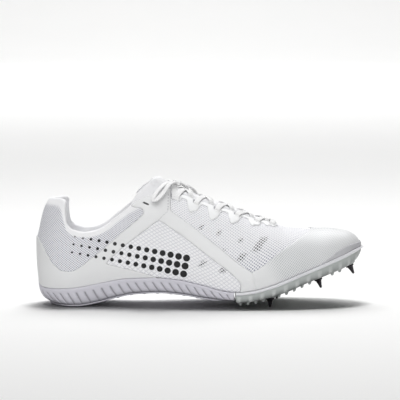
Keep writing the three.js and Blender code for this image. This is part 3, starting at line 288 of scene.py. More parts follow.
def half_girth(x):
    return np.hypot(upper_half(x), dome_rise(x)) + 0.001


def across_at_height(x, height):
    up = np.clip((height - feather(x)) / np.maximum(dome_rise(x), 0.001), 0, 1)
    return 1 - np.arcsin(up ** (box_curve(x / LENGTH) / 2)) * 2 / math.pi


def across_at_half(x, half):
    out = np.clip(half / np.maximum(upper_half(x), 0.001), 0, 1)
    return 1 - np.arccos(out ** (box_curve(x / LENGTH) / 2)) * 2 / math.pi


def throat_half(x):
    closing = np.clip((x - THROAT_END + THROAT_ROUND) / THROAT_ROUND, 0, 1)
    return throat_curve(x / LENGTH) * np.sqrt(1 - closing ** 2)


def edge_across(x):
    """Place across of the upper's free edge: the collar, then the throat."""
    collar = across_at_height(x, collar_curve(x / LENGTH))
    return mix(collar, across_at_half(x, throat_half(x)), smooth(x, THROAT_TOP - 8, THROAT_TOP + 7))


def arc_length(points):
    """Distance along rows of points, from their start."""
    steps = np.linalg.norm(np.diff(points, axis=0), axis=-1)
    return np.concatenate([np.zeros_like(steps[:1]), np.cumsum(steps, axis=0)])


def spaced(point, start, end):
    """Stations by share of the arc length along a line of the shoe."""
    t = (1 - np.cos(np.linspace(0, math.pi, 1200))) / 2
    x = mix(start, end, t)
    arc = arc_length(point(x))
    return lambda share: np.interp(np.clip(share, 0, 1) * arc[-1], arc, x)


def plan_walk(half, start, end):
    """Stations by share of the way round half of a plan."""
    return spaced(lambda x: np.stack([x, half(x)], axis=-1), start, end)


feet = spaced(lambda x: last_point(x, np.ones_like(x)), UPPER_BACK, UPPER_FRONT)
edge_station = spaced(lambda x: last_point(x, edge_across(x)), UPPER_BACK, THROAT_END)
foot_arc_x = np.linspace(UPPER_BACK, UPPER_FRONT, 1500)
foot_arc = arc_length(last_point(foot_arc_x, np.ones_like(foot_arc_x))[:, :2])


def upper_place(share, v, side):
    """Station and place across of the upper at a share of the way round and up it."""
    foot = feet(mix(np.clip(share, 0, 1) ** 1.25, share, share))
    top = edge_station(share)
    station = mix(foot, top, v)
    reach = edge_across(top) * half_girth(top)
    across = mix(half_girth(foot), reach, v) / half_girth(station)
    return station, side * np.clip(across, 0, 1)


LOOK_COLUMNS, LOOK_ROWS = 900, 200
LOOK_SHARES, LOOK_UPS = np.meshgrid(np.linspace(0, 1, LOOK_COLUMNS), np.linspace(0, 1, LOOK_ROWS))
LOOK_POINTS = last_point(*upper_place(LOOK_SHARES, LOOK_UPS, OUTER))
LOOK_RISE = arc_length(LOOK_POINTS)


def girth_up(share, v):
    """Way up the surface from the feather to a place, in millimetres."""
    i = np.clip(share, 0, 1) * (LOOK_COLUMNS - 1)
    j = np.clip(v, 0, 1) * (LOOK_ROWS - 1)
    i0, j0 = np.minimum(i.astype(int), LOOK_COLUMNS - 2), np.minimum(j.astype(int), LOOK_ROWS - 2)
    low = mix(LOOK_RISE[j0, i0], LOOK_RISE[j0, i0 + 1], i - i0)
    high = mix(LOOK_RISE[j0 + 1, i0], LOOK_RISE[j0 + 1, i0 + 1], i - i0)
    return mix(low, high, j - j0)


def cloth_map(station, share, v):
    """Flat pattern of the upper: the way round its foot and the way up."""
    return np.stack([np.interp(station, foot_arc_x, foot_arc), girth_up(share, v)], axis=-1)


def edge_height(x):
    at = np.clip(x, UPPER_BACK, UPPER_FRONT)
    return np.where(at < THROAT_END, last_point(at, edge_across(at))[..., 2], feather(at) + dome_rise(at))


def side_seen(rows):
    """Side-view points, in millimetres, of rows of length shares and shares of the upper's height."""
    at, up = np.array(rows).T
    x = np.clip(at * LENGTH, 0, LENGTH)
    return np.stack([at * LENGTH, mix(feather(x), edge_height(x), up)], axis=-1)


def divided(points, closed, gap):
    """Corners with more points between them, so that straight edges stay straight once they're laid on."""
    points = np.asarray(points, float)
    ends = np.roll(points, -1, axis=0) if closed else points[1:]
    out = []
    for a, b in zip(points, ends):
        count = max(int(np.linalg.norm(b - a) / gap), 1)
        out += [mix(a, b, t) for t in np.arange(count) / count]
    return np.array(out if closed else out + [points[-1]])


def softened(points, closed, passes):
    """Outline with its corners eased, by taking each point part of the way to its neighbours' middle."""
    points = np.array(points, float)
    for _ in range(passes):
        middles = (np.roll(points, 1, axis=0) + np.roll(points, -1, axis=0)) / 2
        moved = (points + middles) / 2
        if not closed:
            moved[0], moved[-1] = points[0], points[-1]
        points = moved
    return points


def nearest_shares(away):
    """Shares round and up the upper of the look-up place with the least of a measure."""
    j, i = np.unravel_index(np.argmin(away), away.shape)
    return LOOK_SHARES[j, i], LOOK_UPS[j, i]


def on_upper(seen):
    """Shares round and up the upper of side-view points."""
    return np.array([nearest_shares((LOOK_POINTS[..., 0] - x) ** 2 + (LOOK_POINTS[..., 2] - z) ** 2)
                     for x, z in seen])


def rounded(points, gap):
    """Points along a smooth curve through corners, about a gap apart."""
    points = np.asarray(points, float)
    last = len(points) - 1
    out = []
    for i in range(last):
        a, b, c, d = (points[min(max(i + k, 0), last)] for k in (-1, 0, 1, 2))
        steps = max(int(np.linalg.norm(c - b) / gap), 1)
        for t in np.arange(steps) / steps:
            out.append(0.5 * (2 * b + (c - a) * t + (2 * a - 5 * b + 4 * c - d) * t * t
                              + (3 * b - a - 3 * c + d) * t ** 3))
    return np.array(out + [points[-1]])


# Meshes


def to_row(points):
    """Millimetres from the heel's back to metres in the row's frame."""
    return (np.asarray(points, float) - (HEEL_TO_ORIGIN, 0, 0)) * MM


def deselect():
    for thing in bpy.context.selected_objects:
        thing.select_set(False)


def current(name):
    piece = bpy.context.object
    piece.name = piece.data.name = name
    return piece


def choose(piece):
    deselect()
    piece.select_set(True)
    bpy.context.view_layer.objects.active = piece


def edit(piece):
    choose(piece)
    bpy.ops.object.mode_set(mode="EDIT")
    bpy.ops.mesh.select_all(action="SELECT")


def leave_edit():
    bpy.ops.object.mode_set(mode="OBJECT")


def finish_mesh(piece, angle=None):
    """Merges doubles, turns faces outwards and shades the piece smooth."""
    edit(piece)
    bpy.ops.mesh.remove_doubles(threshold=0.00002)
    bpy.ops.mesh.dissolve_degenerate(threshold=1e-7)
    bpy.ops.mesh.normals_make_consistent(inside=False)
    leave_edit()
    if angle is None:
        bpy.ops.object.shade_smooth()
    else:
        bpy.ops.object.shade_smooth_by_angle(angle=angle)
    return piece


def corners_of(piece):
    """Places of a piece's vertices, as rows."""
    table = np.zeros(len(piece.data.vertices) * 3)
    piece.data.vertices.foreach_get("co", table)
    return table.reshape(-1, 3)


def place_corners(piece, points):
    piece.data.vertices.foreach_set("co", np.asarray(points).reshape(-1))
    piece.data.update()


def set_uv(piece, table):
    """UV map from one pair per vertex, in metres."""
    mesh = piece.data
    layer = mesh.uv_layers.active or mesh.uv_layers.new(name="cloth")
    layer.name = "cloth"
    corner = np.zeros(len(mesh.loops), dtype=np.int32)
    mesh.loops.foreach_get("vertex_index", corner)
    layer.data.foreach_set("uv", np.asarray(table, np.float32)[corner].ravel())


def set_value(piece, name, values):
    """Named value for each vertex, for the piece's finish to read."""
    attribute = piece.data.attributes.new(name, "FLOAT", "POINT")
    attribute.data.foreach_set("value", np.asarray(values, np.float32).ravel())


def loft(name, rings, uv=None, values=None, angle=None):
    """Piece from rings of points in millimetres: a grid primitive laid over them and merged."""
    rings = np.asarray(rings, float)
    rows, columns = rings.shape[:2]
    deselect()
    bpy.ops.mesh.primitive_grid_add(x_subdivisions=columns - 1, y_subdivisions=rows - 1, size=1)
    piece = current(name)
    place_corners(piece, to_row(rings))
    if uv is not None:
        set_uv(piece, np.asarray(uv).reshape(-1, 2) * MM)
    for key, table in (values or {}).items():
        set_value(piece, key, table)
    return finish_mesh(piece, angle)


def use_modifier(piece, kind, **settings):
    choose(piece)
    modifier = piece.modifiers.new(kind.title(), kind)
    for key, value in settings.items():
        setattr(modifier, key, value)
    bpy.ops.object.modifier_apply(modifier=modifier.name)


def join(name, pieces):
    choose(pieces[0])
    for piece in pieces:
        piece.select_set(True)
    if len(pieces) > 1:
        bpy.ops.object.join()
    return current(name)


def settle(piece, material, slot, *nodes):
    """Gives a finished piece its material and body and hides the imported parts of the nodes that it stands
    for. The slot is not used.
    """
    piece.data.materials.clear()
    piece.data.materials.append(material)
    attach(piece, "root")
    if nodes:
        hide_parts(*nodes)
    return piece


# A film is drawn on a flat sheet of this size, which stands for the shares round and up the upper.
SHEET = np.array([330.0, 70.0])
LEAST_STEP = 0.25


def thinned(outline):
    """Outline on the flat sheet without points that nearly fall together."""
    kept = [outline[0]]
    for point in outline[1:]:
        if np.linalg.norm(point - kept[-1]) > LEAST_STEP:
            kept.append(point)
    if np.linalg.norm(kept[0] - kept[-1]) < LEAST_STEP:
        kept.pop()
    return np.array(kept)


def flat_cells(name, outline, cell, rim):
    """Flat face inside an outline, with a rim inset along its edge, bisected into cells."""
    deselect()
    bpy.ops.mesh.primitive_circle_add(vertices=len(outline), radius=1, fill_type="NGON")
    piece = current(name)
    place_corners(piece, np.pad(outline, ((0, 0), (0, 1))) * MM)
    edit(piece)
    bpy.ops.mesh.inset(thickness=rim * MM, depth=0)
    low, high = outline.min(axis=0), outline.max(axis=0)
    for axis in (0, 1):
        facing = np.eye(3)[axis]
        for at in np.arange(math.ceil(low[axis] / cell) * cell, high[axis], cell):
            bpy.ops.mesh.select_all(action="SELECT")
            bpy.ops.mesh.bisect(plane_co=facing * at * MM, plane_no=facing)
    bpy.ops.mesh.select_all(action="SELECT")
    bpy.ops.mesh.remove_doubles(threshold=0.0001)
    leave_edit()
    return piece


def free_border(mesh, seams):
    """Vertices on the free edges: those of one face only that lie along none of the seams."""
    border = np.zeros(len(mesh.vertices), bool)
    uses = np.zeros(len(mesh.edges), int)
    index = {tuple(sorted(edge.vertices)): edge.index for edge in mesh.edges}
    for face in mesh.polygons:
        for key in face.edge_keys:
            uses[index[tuple(sorted(key))]] += 1
    for edge in mesh.edges:
        ends = list(edge.vertices)
        if uses[edge.index] == 1 and not seams[:, ends].all(axis=1).any():
            border[ends] = True
    return border


def patch(name, corners, rise, cell=2.4, rim=0.5, side=OUTER):
    """Thin film over the upper, from its outline in shares round and up it."""
    piece = flat_cells(name, thinned(np.clip(np.asarray(corners), 0, 1) * SHEET), cell, rim)
    share, v = (corners_of(piece)[:, :2] / MM / SHEET).T
    border = free_border(piece.data, np.stack([share < 0.0015, share > 0.9985, v < 0.02]))
    station, across = upper_place(share, v, side)
    if side == INNER:
        piece.data.flip_normals()
    place_corners(piece, to_row(worn(station, across, np.where(border, 0.02, rise))))
    set_uv(piece, cloth_map(station, share, v) * MM)
    set_value(piece, "border", border)
    return piece


def film(name, look, node, *patches):
    """Patches of one film, merged where they meet and given their thickness."""
    piece = join(name, patches)
    edit(piece)
    bpy.ops.mesh.remove_doubles(threshold=0.0001)
    leave_edit()
    use_modifier(piece, "SOLIDIFY", thickness=sizes().film, offset=-1, use_even_offset=False)
    bpy.ops.object.shade_smooth()
    return settle(piece, look, "film", node)


# Finishes


class Wire:
    """A socket of a finish. Sums and products of wires add the nodes that work them out."""

    def __init__(self, finish, socket):
        self.finish = finish
        self.socket = socket

    def __add__(self, other):
        return self.finish.math("ADD", self, other)

    def __sub__(self, other):
        return self.finish.math("SUBTRACT", self, other)

    def __rsub__(self, other):
        return self.finish.math("SUBTRACT", other, self)

    def __mul__(self, other):
        return self.finish.math("MULTIPLY", self, other)

    def __truediv__(self, other):
        return self.finish.math("DIVIDE", self, other)

    __radd__ = __add__
    __rmul__ = __mul__


class Finish:
    """A procedural material around one Principled shader."""

    def __init__(self, name, **fixed):
        self.material = bpy.data.materials.new(name)
        self.material.use_nodes = True
        self.tree = self.material.node_tree
        self.shader = self.tree.nodes["Principled BSDF"]
        for key, value in fixed.items():
            self.shader.inputs[key.replace("_", " ")].default_value = value

    def node(self, kind, settings=None, output=0, **values):
        """Adds a node. A value named i and a number goes to the input of that number."""
        made = self.tree.nodes.new(kind)
        for key, value in (settings or {}).items():
            setattr(made, key, value)
        for key, value in values.items():
            slot = int(key[1:]) if key[0] == "i" and key[1:].isdigit() else key.replace("_", " ")
            self.link(value, made.inputs[slot])
        return Wire(self, made.outputs[output])

    def link(self, value, socket):
        if isinstance(value, Wire):
            self.tree.links.new(value.socket, socket)
        elif socket.type == "RGBA" and len(value) == 3:
            socket.default_value = (*value, 1)
        else:
            socket.default_value = value

    def math(self, operation, *values):
        inputs = {f"i{i}": value for i, value in enumerate(values)}
        return self.node("ShaderNodeMath", {"operation": operation}, **inputs)

    def smooth(self, value, low, high):
        return self.node("ShaderNodeMapRange", {"interpolation_type": "SMOOTHSTEP"},
                         Value=value, From_Min=low, From_Max=high)

    def blend(self, factor, first, second):
        return self.node("ShaderNodeMix", {"data_type": "RGBA"}, 2, i0=factor, i6=first, i7=second)

    def mix(self, factor, first, second):
        return self.node("ShaderNodeMix", {"data_type": "FLOAT"}, i0=factor, i2=first, i3=second)

    def value(self, name):
        return self.node("ShaderNodeAttribute", {"attribute_name": name}, 2)

    def axis(self, vector, index):
        return self.node("ShaderNodeSeparateXYZ", None, index, i0=vector)

    def uv(self):
        vector = self.node("ShaderNodeUVMap", {"uv_map": "cloth"})
        return self.axis(vector, 0), self.axis(vector, 1)

    def place(self):
        return self.node("ShaderNodeTexCoord", None, "Object")

    def noise(self, scale, detail=2.0):
        return self.node("ShaderNodeTexNoise", Vector=self.place(), Scale=scale, Detail=detail)

    def mottled(self, scale, low, high, detail=3.0):
        """Colour that drifts between two tones in soft patches."""
        return self.blend(self.noise(scale, detail), low, high)

    def bump(self, height, depth, strength=0.5):
        normal = self.node("ShaderNodeBump", Strength=strength, Distance=depth, Height=height)
        self.link(normal, self.shader.inputs["Normal"])

    def set(self, **wires):
        for key, value in wires.items():
            self.link(value, self.shader.inputs[key.replace("_", " ")])
        return self.material


def distance_to_line(look, along, pitch):
    """Saw that is 0 in the middle of each pitch and 1 at its ends."""
    return look.math("ABSOLUTE", look.math("FRACT", along / pitch) - 0.5) * 2


def threads(look, across, along, pitch):
    """Crossing diagonal threads: 1 on a thread, 0 in the middle of a hole."""
    return look.math("MAXIMUM", distance_to_line(look, across + along, pitch),
                     distance_to_line(look, across - along, pitch))


# Block of printed dots: where it starts, in metres, its lean, pitch, columns and the smallest and largest dot
DOTS_X, DOTS_Z, DOT_LEAN, DOT_PITCH = -0.0085, 0.0578, math.radians(-10.5), 0.0070
FIRST_COLUMN, LAST_COLUMN, SMALL_DOT, LARGE_DOT = 2, 16, 0.13, 0.43


def printed(look):
    """Three straight slanting rows of round dots, smaller towards the heel: 1 on a dot."""
    place = look.place()
    x = look.axis(place, 0) - DOTS_X
    z = look.axis(place, 2) - DOTS_Z
    along = (x * math.cos(DOT_LEAN) + z * math.sin(DOT_LEAN)) / DOT_PITCH
    up = (z * math.cos(DOT_LEAN) - x * math.sin(DOT_LEAN)) / DOT_PITCH + 1.5
    cell_x = look.math("FRACT", along) - 0.5
    cell_y = look.math("FRACT", up) - 0.5
    away = look.math("SQRT", cell_x * cell_x + cell_y * cell_y)
    column = look.math("FLOOR", along)
    radius = look.node("ShaderNodeMapRange", Value=column, From_Min=FIRST_COLUMN, From_Max=LAST_COLUMN,
                       To_Min=SMALL_DOT, To_Max=LARGE_DOT)
    dot = 1 - look.smooth(away - radius, -0.02, 0.02)
    rows = look.math("COMPARE", look.math("FLOOR", up), 1.0, 1.1)
    columns = look.math("COMPARE", column, (FIRST_COLUMN + LAST_COLUMN) / 2,
                        (LAST_COLUMN - FIRST_COLUMN) / 2 + 0.1)
    return dot * rows * columns


def cloth_finish():
    """White mesh: fine round the heel, open over the foot, raised cells in the quarter's window."""
    colour_of = colours()
    look = Finish("open_mesh_cloth", Roughness=0.82, Sheen_Weight=0.1)
    u, v = look.uv()
    heel = 1 - look.smooth(u, 0.120, 0.126)
    fine = threads(look, u, v * 1.15, 0.0023)
    vamp = threads(look, u, v, 0.0030)
    cells = threads(look, u * 0.85, v, 0.0040)
    window = look.value("window")
    knitted = 1 - look.value("plain")
    low = 1 - look.smooth(v, 0.008, 0.050)
    cloth = look.mottled(900.0, shade(colour_of.cloth, 0.94), colour_of.cloth, 2.0)
    hole_heel = (1 - look.smooth(fine, 0.35, 0.90)) * 0.92
    hole_vamp = (1 - look.smooth(vamp, 0.42, 0.78)) * (low * 0.55 + 0.45)
    ridge = look.smooth(cells, 0.60, 0.98) * 0.34
    hole = look.mix(window, look.mix(heel, hole_vamp, hole_heel), ridge)
    colour = look.blend(hole * knitted, cloth, colour_of.opening)
    dark = (1 - look.smooth(vamp, 0.48, 0.74)) * look.value("opening")
    colour = look.blend(dark, colour, (0.02, 0.02, 0.025))
    # Painted shadow of the lace slots: the cloth round each slot turns grey.
    colour = look.blend(look.value("slot"), colour, (0.30, 0.30, 0.32))
    colour = look.blend(printed(look) * knitted, colour, colour_of.graphic)
    lining = look.math("SINE", u * 5200) * look.math("SINE", v * 5200)
    weave = look.mix(window, look.mix(heel, vamp, fine * 0.5), 1 - cells)
    look.bump(look.math("MAXIMUM", weave * knitted, lining * look.value("plain") * 0.3), 0.0004, 0.7)
    return look.set(Base_Color=colour)


def film_finish(name, dots=0.0, graphic=False, edge=0.55, bright=1.0):
    """Matt film pressed on the mesh, whose threads show through a little."""
    base = colours().film
    look = Finish(name, Roughness=0.5)
    u, v = look.uv()
    thread = threads(look, u, v, 0.0027)
    fine = look.noise(1500.0)
    # bright scales the film's colour for each piece; on the toe it is painted shade that offsets the strong
    # light on the toe's top.
    colour = look.mottled(60.0, shade(base, 0.96 * bright), shade(base, bright))
    if dots:
        fade = look.smooth(u, 0.235, 0.310)
        start = look.smooth(u + v * 0.6, 0.222, 0.236)
        dot = 1 - look.smooth(thread, 0.30, 0.62)
        line = (1 - look.smooth(distance_to_line(look, u - v, 0.0027), 0.25, 0.75)) * 0.55
        strength = (1 - fade * 0.75) * start * dots
        colour = look.blend(look.math("MAXIMUM", dot, line) * strength, colour, (0.43, 0.45, 0.47))
    # Painted shade along the film's free edge, where it steps down onto the mesh; edge sets its strength.
    colour = look.blend(look.value("border") * edge, colour, shade(base, 0.55))
    if graphic:
        colour = look.blend(printed(look), colour, colours().graphic)
    look.bump(thread * 0.5 + fine * 0.5, 0.00012)
    return look.set(Base_Color=colour, Roughness=fine * 0.15 + 0.42)


def guard_finish():
    look = Finish("toe_guard_film")
    fine = look.noise(1300.0)
    look.bump(fine, 0.00006)
    return look.set(Base_Color=look.mottled(70.0, (0.49, 0.49, 0.51), colours().guard),
                    Roughness=fine * 0.15 + 0.32)


def foam_finish():
    foam = colours().foam
    look = Finish("lilac_foam")
    fine = look.noise(2200.0, 3.0)
    colour = look.mottled(90.0, shade(foam, 0.97), foam, 2.0)
    # Painted shade in the grooves between the ribs: the foam turns darker where it is cut in.
    colour = look.blend(look.value("groove") * 0.9, colour, shade(foam, 0.36))
    look.bump(fine, 0.00008)
    return look.set(Base_Color=colour, Roughness=fine * 0.12 + 0.52)


def rubber_finish():
    foam = colours().foam
    look = Finish("tread_rubber", Roughness=0.7)
    look.bump(look.noise(1800.0, 3.0), 0.0001, 0.6)
    return look.set(Base_Color=look.mottled(120.0, shade(foam, 0.80), shade(foam, 0.94), 2.0))


def plate_finish():
    base = colours().plate
    look = Finish("clouded_plate", IOR=1.5, Transmission_Weight=0.12)
    fine = look.noise(1400.0)
    colour = look.mottled(70.0, shade(base, 0.86), base)
    # Painted shade: the plate turns darker towards its underside.
    colour = look.blend(look.value("painted_shade_low"), colour, shade(base, 0.55))
    colour = look.blend(look.value("tooth") * 0.5, colour, (0.72, 0.74, 0.73))
    colour = look.blend(look.value("lip"), colour, (0.82, 0.82, 0.85))
    look.bump(fine, 0.00005)
    return look.set(Base_Color=colour, Roughness=fine * 0.12 + 0.24)


def steel_finish():
    base = colours().steel
    look = Finish("black_steel", Metallic=0.7)
    fine = look.noise(900.0, 3.0)
    turned = look.math("SINE", look.axis(look.place(), 2) * 9000)
    look.bump(turned * 0.5 + fine, 0.00003, 0.4)
    return look.set(Base_Color=look.blend(fine, base, [part * 2.2 + 0.01 for part in base]),
                    Roughness=fine * 0.2 + 0.25)


def lace_finish():
    """Woven lace: ribs along it and short crossing stitches, with painted shade in the weave's hollows."""
    base = colours().lace
    look = Finish("flat_lace", Roughness=0.85, Sheen_Weight=0.2)
    u, v = look.uv()
    ribs = look.math("ABSOLUTE", look.math("SINE", v * (math.pi / 0.00075)))
    stitch = look.math("ABSOLUTE", look.math("SINE", u * (math.pi / 0.0017) + look.math("SINE", v * 4200)))
    weave = ribs * 0.5 + stitch * 0.5
    look.bump(weave, 0.0003, 0.7)
    # Painted shade: darker where the ribs and stitches are low.
    return look.set(Base_Color=look.blend(look.smooth(weave, 0.1, 0.7), shade(base, 0.70), base))


def soft_cloth_finish(name, base, pitch):
    look = Finish(name, Roughness=0.9, Sheen_Weight=0.25)
    u, v = look.uv()
    knit = look.math("SINE", u * (math.tau / pitch)) * look.math("SINE", v * (math.tau / pitch))
    broad = look.noise(80.0, 3.0)
    colour = look.blend(broad, shade(base, 0.92), base)
    colour = look.blend(look.smooth(knit, -0.2, 1.0) * 0.25, colour, shade(base, 0.75))
    look.bump(knit + broad * 0.5, 0.0002, 0.6)
    return look.set(Base_Color=colour)


def plain_finish(name, roughness, scale, low, high):
    look = Finish(name, Roughness=roughness)
    return look.set(Base_Color=look.mottled(scale, low, high, 2.0))


# Pieces of the shoe

# Edge of the window in the quarter film, in shares of the length and of the upper's height
WINDOW = [
    (0.624, 0.115), (0.591, 0.250), (0.530, 0.372), (0.448, 0.529), (0.375, 0.691), (0.267, 0.483),
    (0.212, 0.345), (0.219, 0.305), (0.285, 0.123), (0.346, 0.034), (0.387, -0.020),
]
WINDOW_FOOT = [(0.387, -0.1), (0.618, -0.1)]
QUARTER = [
    (0.000, 0.57), (0.016, 0.500), (0.032, 0.402), (0.050, 0.295), (0.076, 0.232), (0.113, 0.281),
    (0.147, 0.411), (0.217, 0.646), (0.328, 0.796), (0.333, 0.832), (0.326, 0.880), (0.290, 0.985),
    (0.284, 1.200), (0.410, 1.200), (0.410, 0.765), (0.428, 0.754), (0.490, 0.652), (0.561, 0.518),
    (0.627, 0.335), (0.656, 0.272), (0.664, 0.200), (0.668, -0.060), (0.618, -0.060), *WINDOW,
    (0.380, -0.080), (0.300, -0.100), (0.200, -0.120), (0.120, -0.120), (0.060, -0.120), (0.020, -0.160),
    (-0.010, -0.160), (-0.020, 0.100), (-0.020, 0.400),
]
TOE_EDGE = [
    (0.640, 0.00), (0.640, 0.12), (0.645, 0.265), (0.663, 0.268), (0.681, 0.310), (0.704, 0.400),
    (0.735, 0.540), (0.766, 0.660), (0.806, 0.83), (0.847, 1.04),
]
# Upper edge of the guard round the tip, seen from the side in millimetres
TOE_GUARD = [(247.0, 37.5), (253.4, 42.0), (260.4, 47.4), (267.4, 51.4), (275.3, 53.6), (281.0, 53.6)]
# Clusters of open holes, seen from the side: middle and half size in millimetres. All lean forward.
CLUSTERS = [
    (178.0, 44.5, 3.2, 3.2), (194.0, 55.2, 3.6, 6.0), (177.0, 58.6, 1.8, 2.0), (162.5, 50.0, 1.6, 2.0),
    (143.5, 70.0, 2.2, 2.2), (159.0, 65.0, 1.8, 2.0), (144.5, 39.3, 2.6, 2.6), (162.5, 34.0, 2.8, 2.6),
]
CLUSTER_LEAN = 0.75
OUTLINE_GAP, OUTLINE_PASSES = 2.0, 5
UPPER_COLUMNS, UPPER_ROWS, RIM_ROWS = 170, 56, 6
SLOT_MIDDLE, COLLAR_FRONT = 3.6, 118


def inside(outline, points):
    """Whether points lie inside a closed outline."""
    x, y = points[:, 0], points[:, 1]
    hit = np.zeros(len(points), bool)
    for (x0, y0), (x1, y1) in zip(outline, np.roll(outline, -1, axis=0)):
        crosses = (y0 > y) != (y1 > y)
        where = x0 + (y - y0) * (x1 - x0) / (y1 - y0 if y1 != y0 else 1e-9)
        hit ^= crosses & (x < where)
    return hit


def wall_thickness(station, v):
    collar = 1 - smooth(station, 0.21 * LENGTH, 0.29 * LENGTH)
    return mix(sizes().wall / MM, sizes().padding / MM, collar * smooth(v, 0.35, 0.85))


def open_holes(seen):
    """How open the cloth is at side-view points: 1 inside a cluster."""
    opening = np.zeros(len(seen))
    for x, z, wide, high in CLUSTERS:
        rise = seen[:, 1] - z
        away = np.maximum(np.abs(seen[:, 0] - x - CLUSTER_LEAN * rise) / wide, np.abs(rise) / high)
        opening = np.maximum(opening, 1 - smooth(away, 0.75, 1.15))
    return opening


def painted_slot_shade(points):
    """How near points of the upper are to a lace slot: 1 inside the patch of painted shade that stands for
    the slot's shadow.
    """
    slot = np.zeros(len(points))
    for at in EYELETS:
        x = at * LENGTH
        for side in (OUTER, INNER):
            middle_point = near_last(x, side * across_at_half(x, throat_half(x) + SLOT_MIDDLE), 0.0)
            away = np.linalg.norm(points - middle_point, axis=1)
            slot = np.maximum(slot, 1 - smooth(away, 3.4, 4.4))
    return slot


def build_upper():
    share = np.concatenate([np.linspace(0, 1, UPPER_COLUMNS + 1), np.linspace(1, 0, UPPER_COLUMNS + 1)[1:]])
    side = np.concatenate([np.full(UPPER_COLUMNS + 1, OUTER), np.full(UPPER_COLUMNS, INNER)])
    side[-1] = OUTER
    v = np.linspace(0, 1, UPPER_ROWS + 1) ** 1.1
    shares, ups = np.meshgrid(share, v)
    station, across = upper_place(shares, ups, np.broadcast_to(side, shares.shape))
    thickness = wall_thickness(station, ups)
    outside = worn(station, across, np.zeros_like(station))
    lining = worn(station, across, -thickness)
    for layer in (outside, lining):
        layer[0, :, 2] = feather(layer[0, :, 0])
    upwards = unit(outside[-1] - outside[-2])
    centre = (outside[-1] + lining[-1]) / 2
    rim = [centre + (outside[-1] - centre) * math.cos(turn)
           + upwards * 0.42 * thickness[-1][:, None] * math.sin(turn)
           for turn in math.pi * np.linspace(0, 1, RIM_ROWS + 2)[1:-1]]
    rings = np.concatenate([outside, rim, lining[::-1], outside[:1]])
    uv = cloth_map(station, shares, ups)
    rim_uv = [uv[-1] + (0, k + 1) for k in range(RIM_ROWS)]
    uvs = np.concatenate([uv, rim_uv, uv[::-1], uv[:1]])
    seen = outside[..., [0, 2]].reshape(-1, 2)
    rows, columns = shares.shape

    def table(values, elsewhere=0.0):
        """Values of the outside, and one value for the rim and the lining."""
        values = np.asarray(values, float).reshape(rows, columns)
        return np.concatenate([values, np.full((RIM_ROWS + rows, columns), elsewhere), values[:1]])

    collar_rim = smooth(np.repeat(v, columns), 0.90, 0.95) * (seen[:, 0] < COLLAR_FRONT)
    values = {
        "window": table(inside(side_seen(WINDOW + WINDOW_FOOT), seen)),
        "opening": table(open_holes(seen)),
        "plain": table(collar_rim, 1.0),
        # "slot" holds the painted shade round the lace slots.
        "slot": table(painted_slot_shade(outside.reshape(-1, 3))),
    }
    settle(loft("upper_mesh", rings, uvs, values), cloth_finish(), "mesh_white", "upper")


def build_quarters():
    outline = on_upper(softened(divided(side_seen(QUARTER), True, OUTLINE_GAP), True, 2))
    for side, name in SIDES:
        film(f"quarter_film_{name}", film_finish(f"quarter_film_{name}", graphic=True),
             f"quarter_overlay_{name}", patch("quarter", outline, 0.6, side=side))


def toe_halves(name, corners, top, foot, rise, **cells):
    """Both halves of a film that closes at the tip, from its edge and the place where that meets the tip."""
    edge = on_upper(softened(divided(corners, False, OUTLINE_GAP), False, OUTLINE_PASSES))
    edge[-1] = (1.0, top)
    outline = np.concatenate([edge, [(1.0, 0.0)], [(edge[0][0], 0.0)] if foot else np.zeros((0, 2))])
    return [patch(f"{name}_{side}", outline, rise, side=side, **cells) for side in (OUTER, INNER)]


def build_toe():
    ridge = np.interp(-TOE_EDGE[-1][0] * LENGTH, -LOOK_POINTS[:, -1, 0], LOOK_UPS[:, -1])
    halves = toe_halves("toe_film", side_seen(TOE_EDGE), ridge, False, 0.4)
    # The toe's film is 0.97 as bright: painted shade against the strong light on its top.
    film("toe_film", film_finish("toe_film", dots=1.0, edge=0.25, bright=0.97), "toe_overlay", *halves)
    rising = slice(0, 60)
    tip = np.interp(TOE_GUARD[-1][1], LOOK_POINTS[rising, -1, 2], LOOK_UPS[rising, -1])
    halves = toe_halves("toe_guard", TOE_GUARD, tip, True, 0.9, cell=1.6)
    film("toe_guard_film", guard_finish(), "toe_guard", *halves)


def sole_side(x, side, level, low, inset):
    """One side of the sole at a level from 0, its underside, to 1, where the upper stands on it."""
    dx = 0.3
    near = np.clip(x, SOLE_BACK + dx, LENGTH - dx)
    slope = (sole_half(near + dx) - sole_half(near - dx)) / (2 * dx)
    length = np.hypot(1, slope)
    bevel = HEEL_BEVEL * (1 - level) ** 2.4 * (1 - smooth(x, 0, 0.16 * LENGTH)) ** 2
    px = x + inset * slope / length + bevel
    py = middle(x) + side * np.maximum(sole_half(x) - inset / length, 0)
    return np.stack([px, py, mix(low(px), feather(px) - GAP, level)], axis=-1)


def sole_rings(shares, station_at, levels, low):
    """Closed rings of a stretch of the sole, from its underside's middle line to its top's."""
    count = len(shares)
    rings = []
    for level, inset, relief in levels:
        x = station_at(shares, level)
        outer, inner = (sole_side(x, side, level, low, inset + relief(shares, x)) for side in (OUTER, INNER))
        rings.append(np.concatenate([outer[::-1], inner, outer[-1:]]))
    lines = []
    for ring in (rings[0], rings[-1]):
        line = (ring[:count][::-1] + ring[count:2 * count]) / 2
        lines.append(np.concatenate([line[::-1], line, line[-1:]]))
    return np.array([lines[0], *rings, lines[1]])


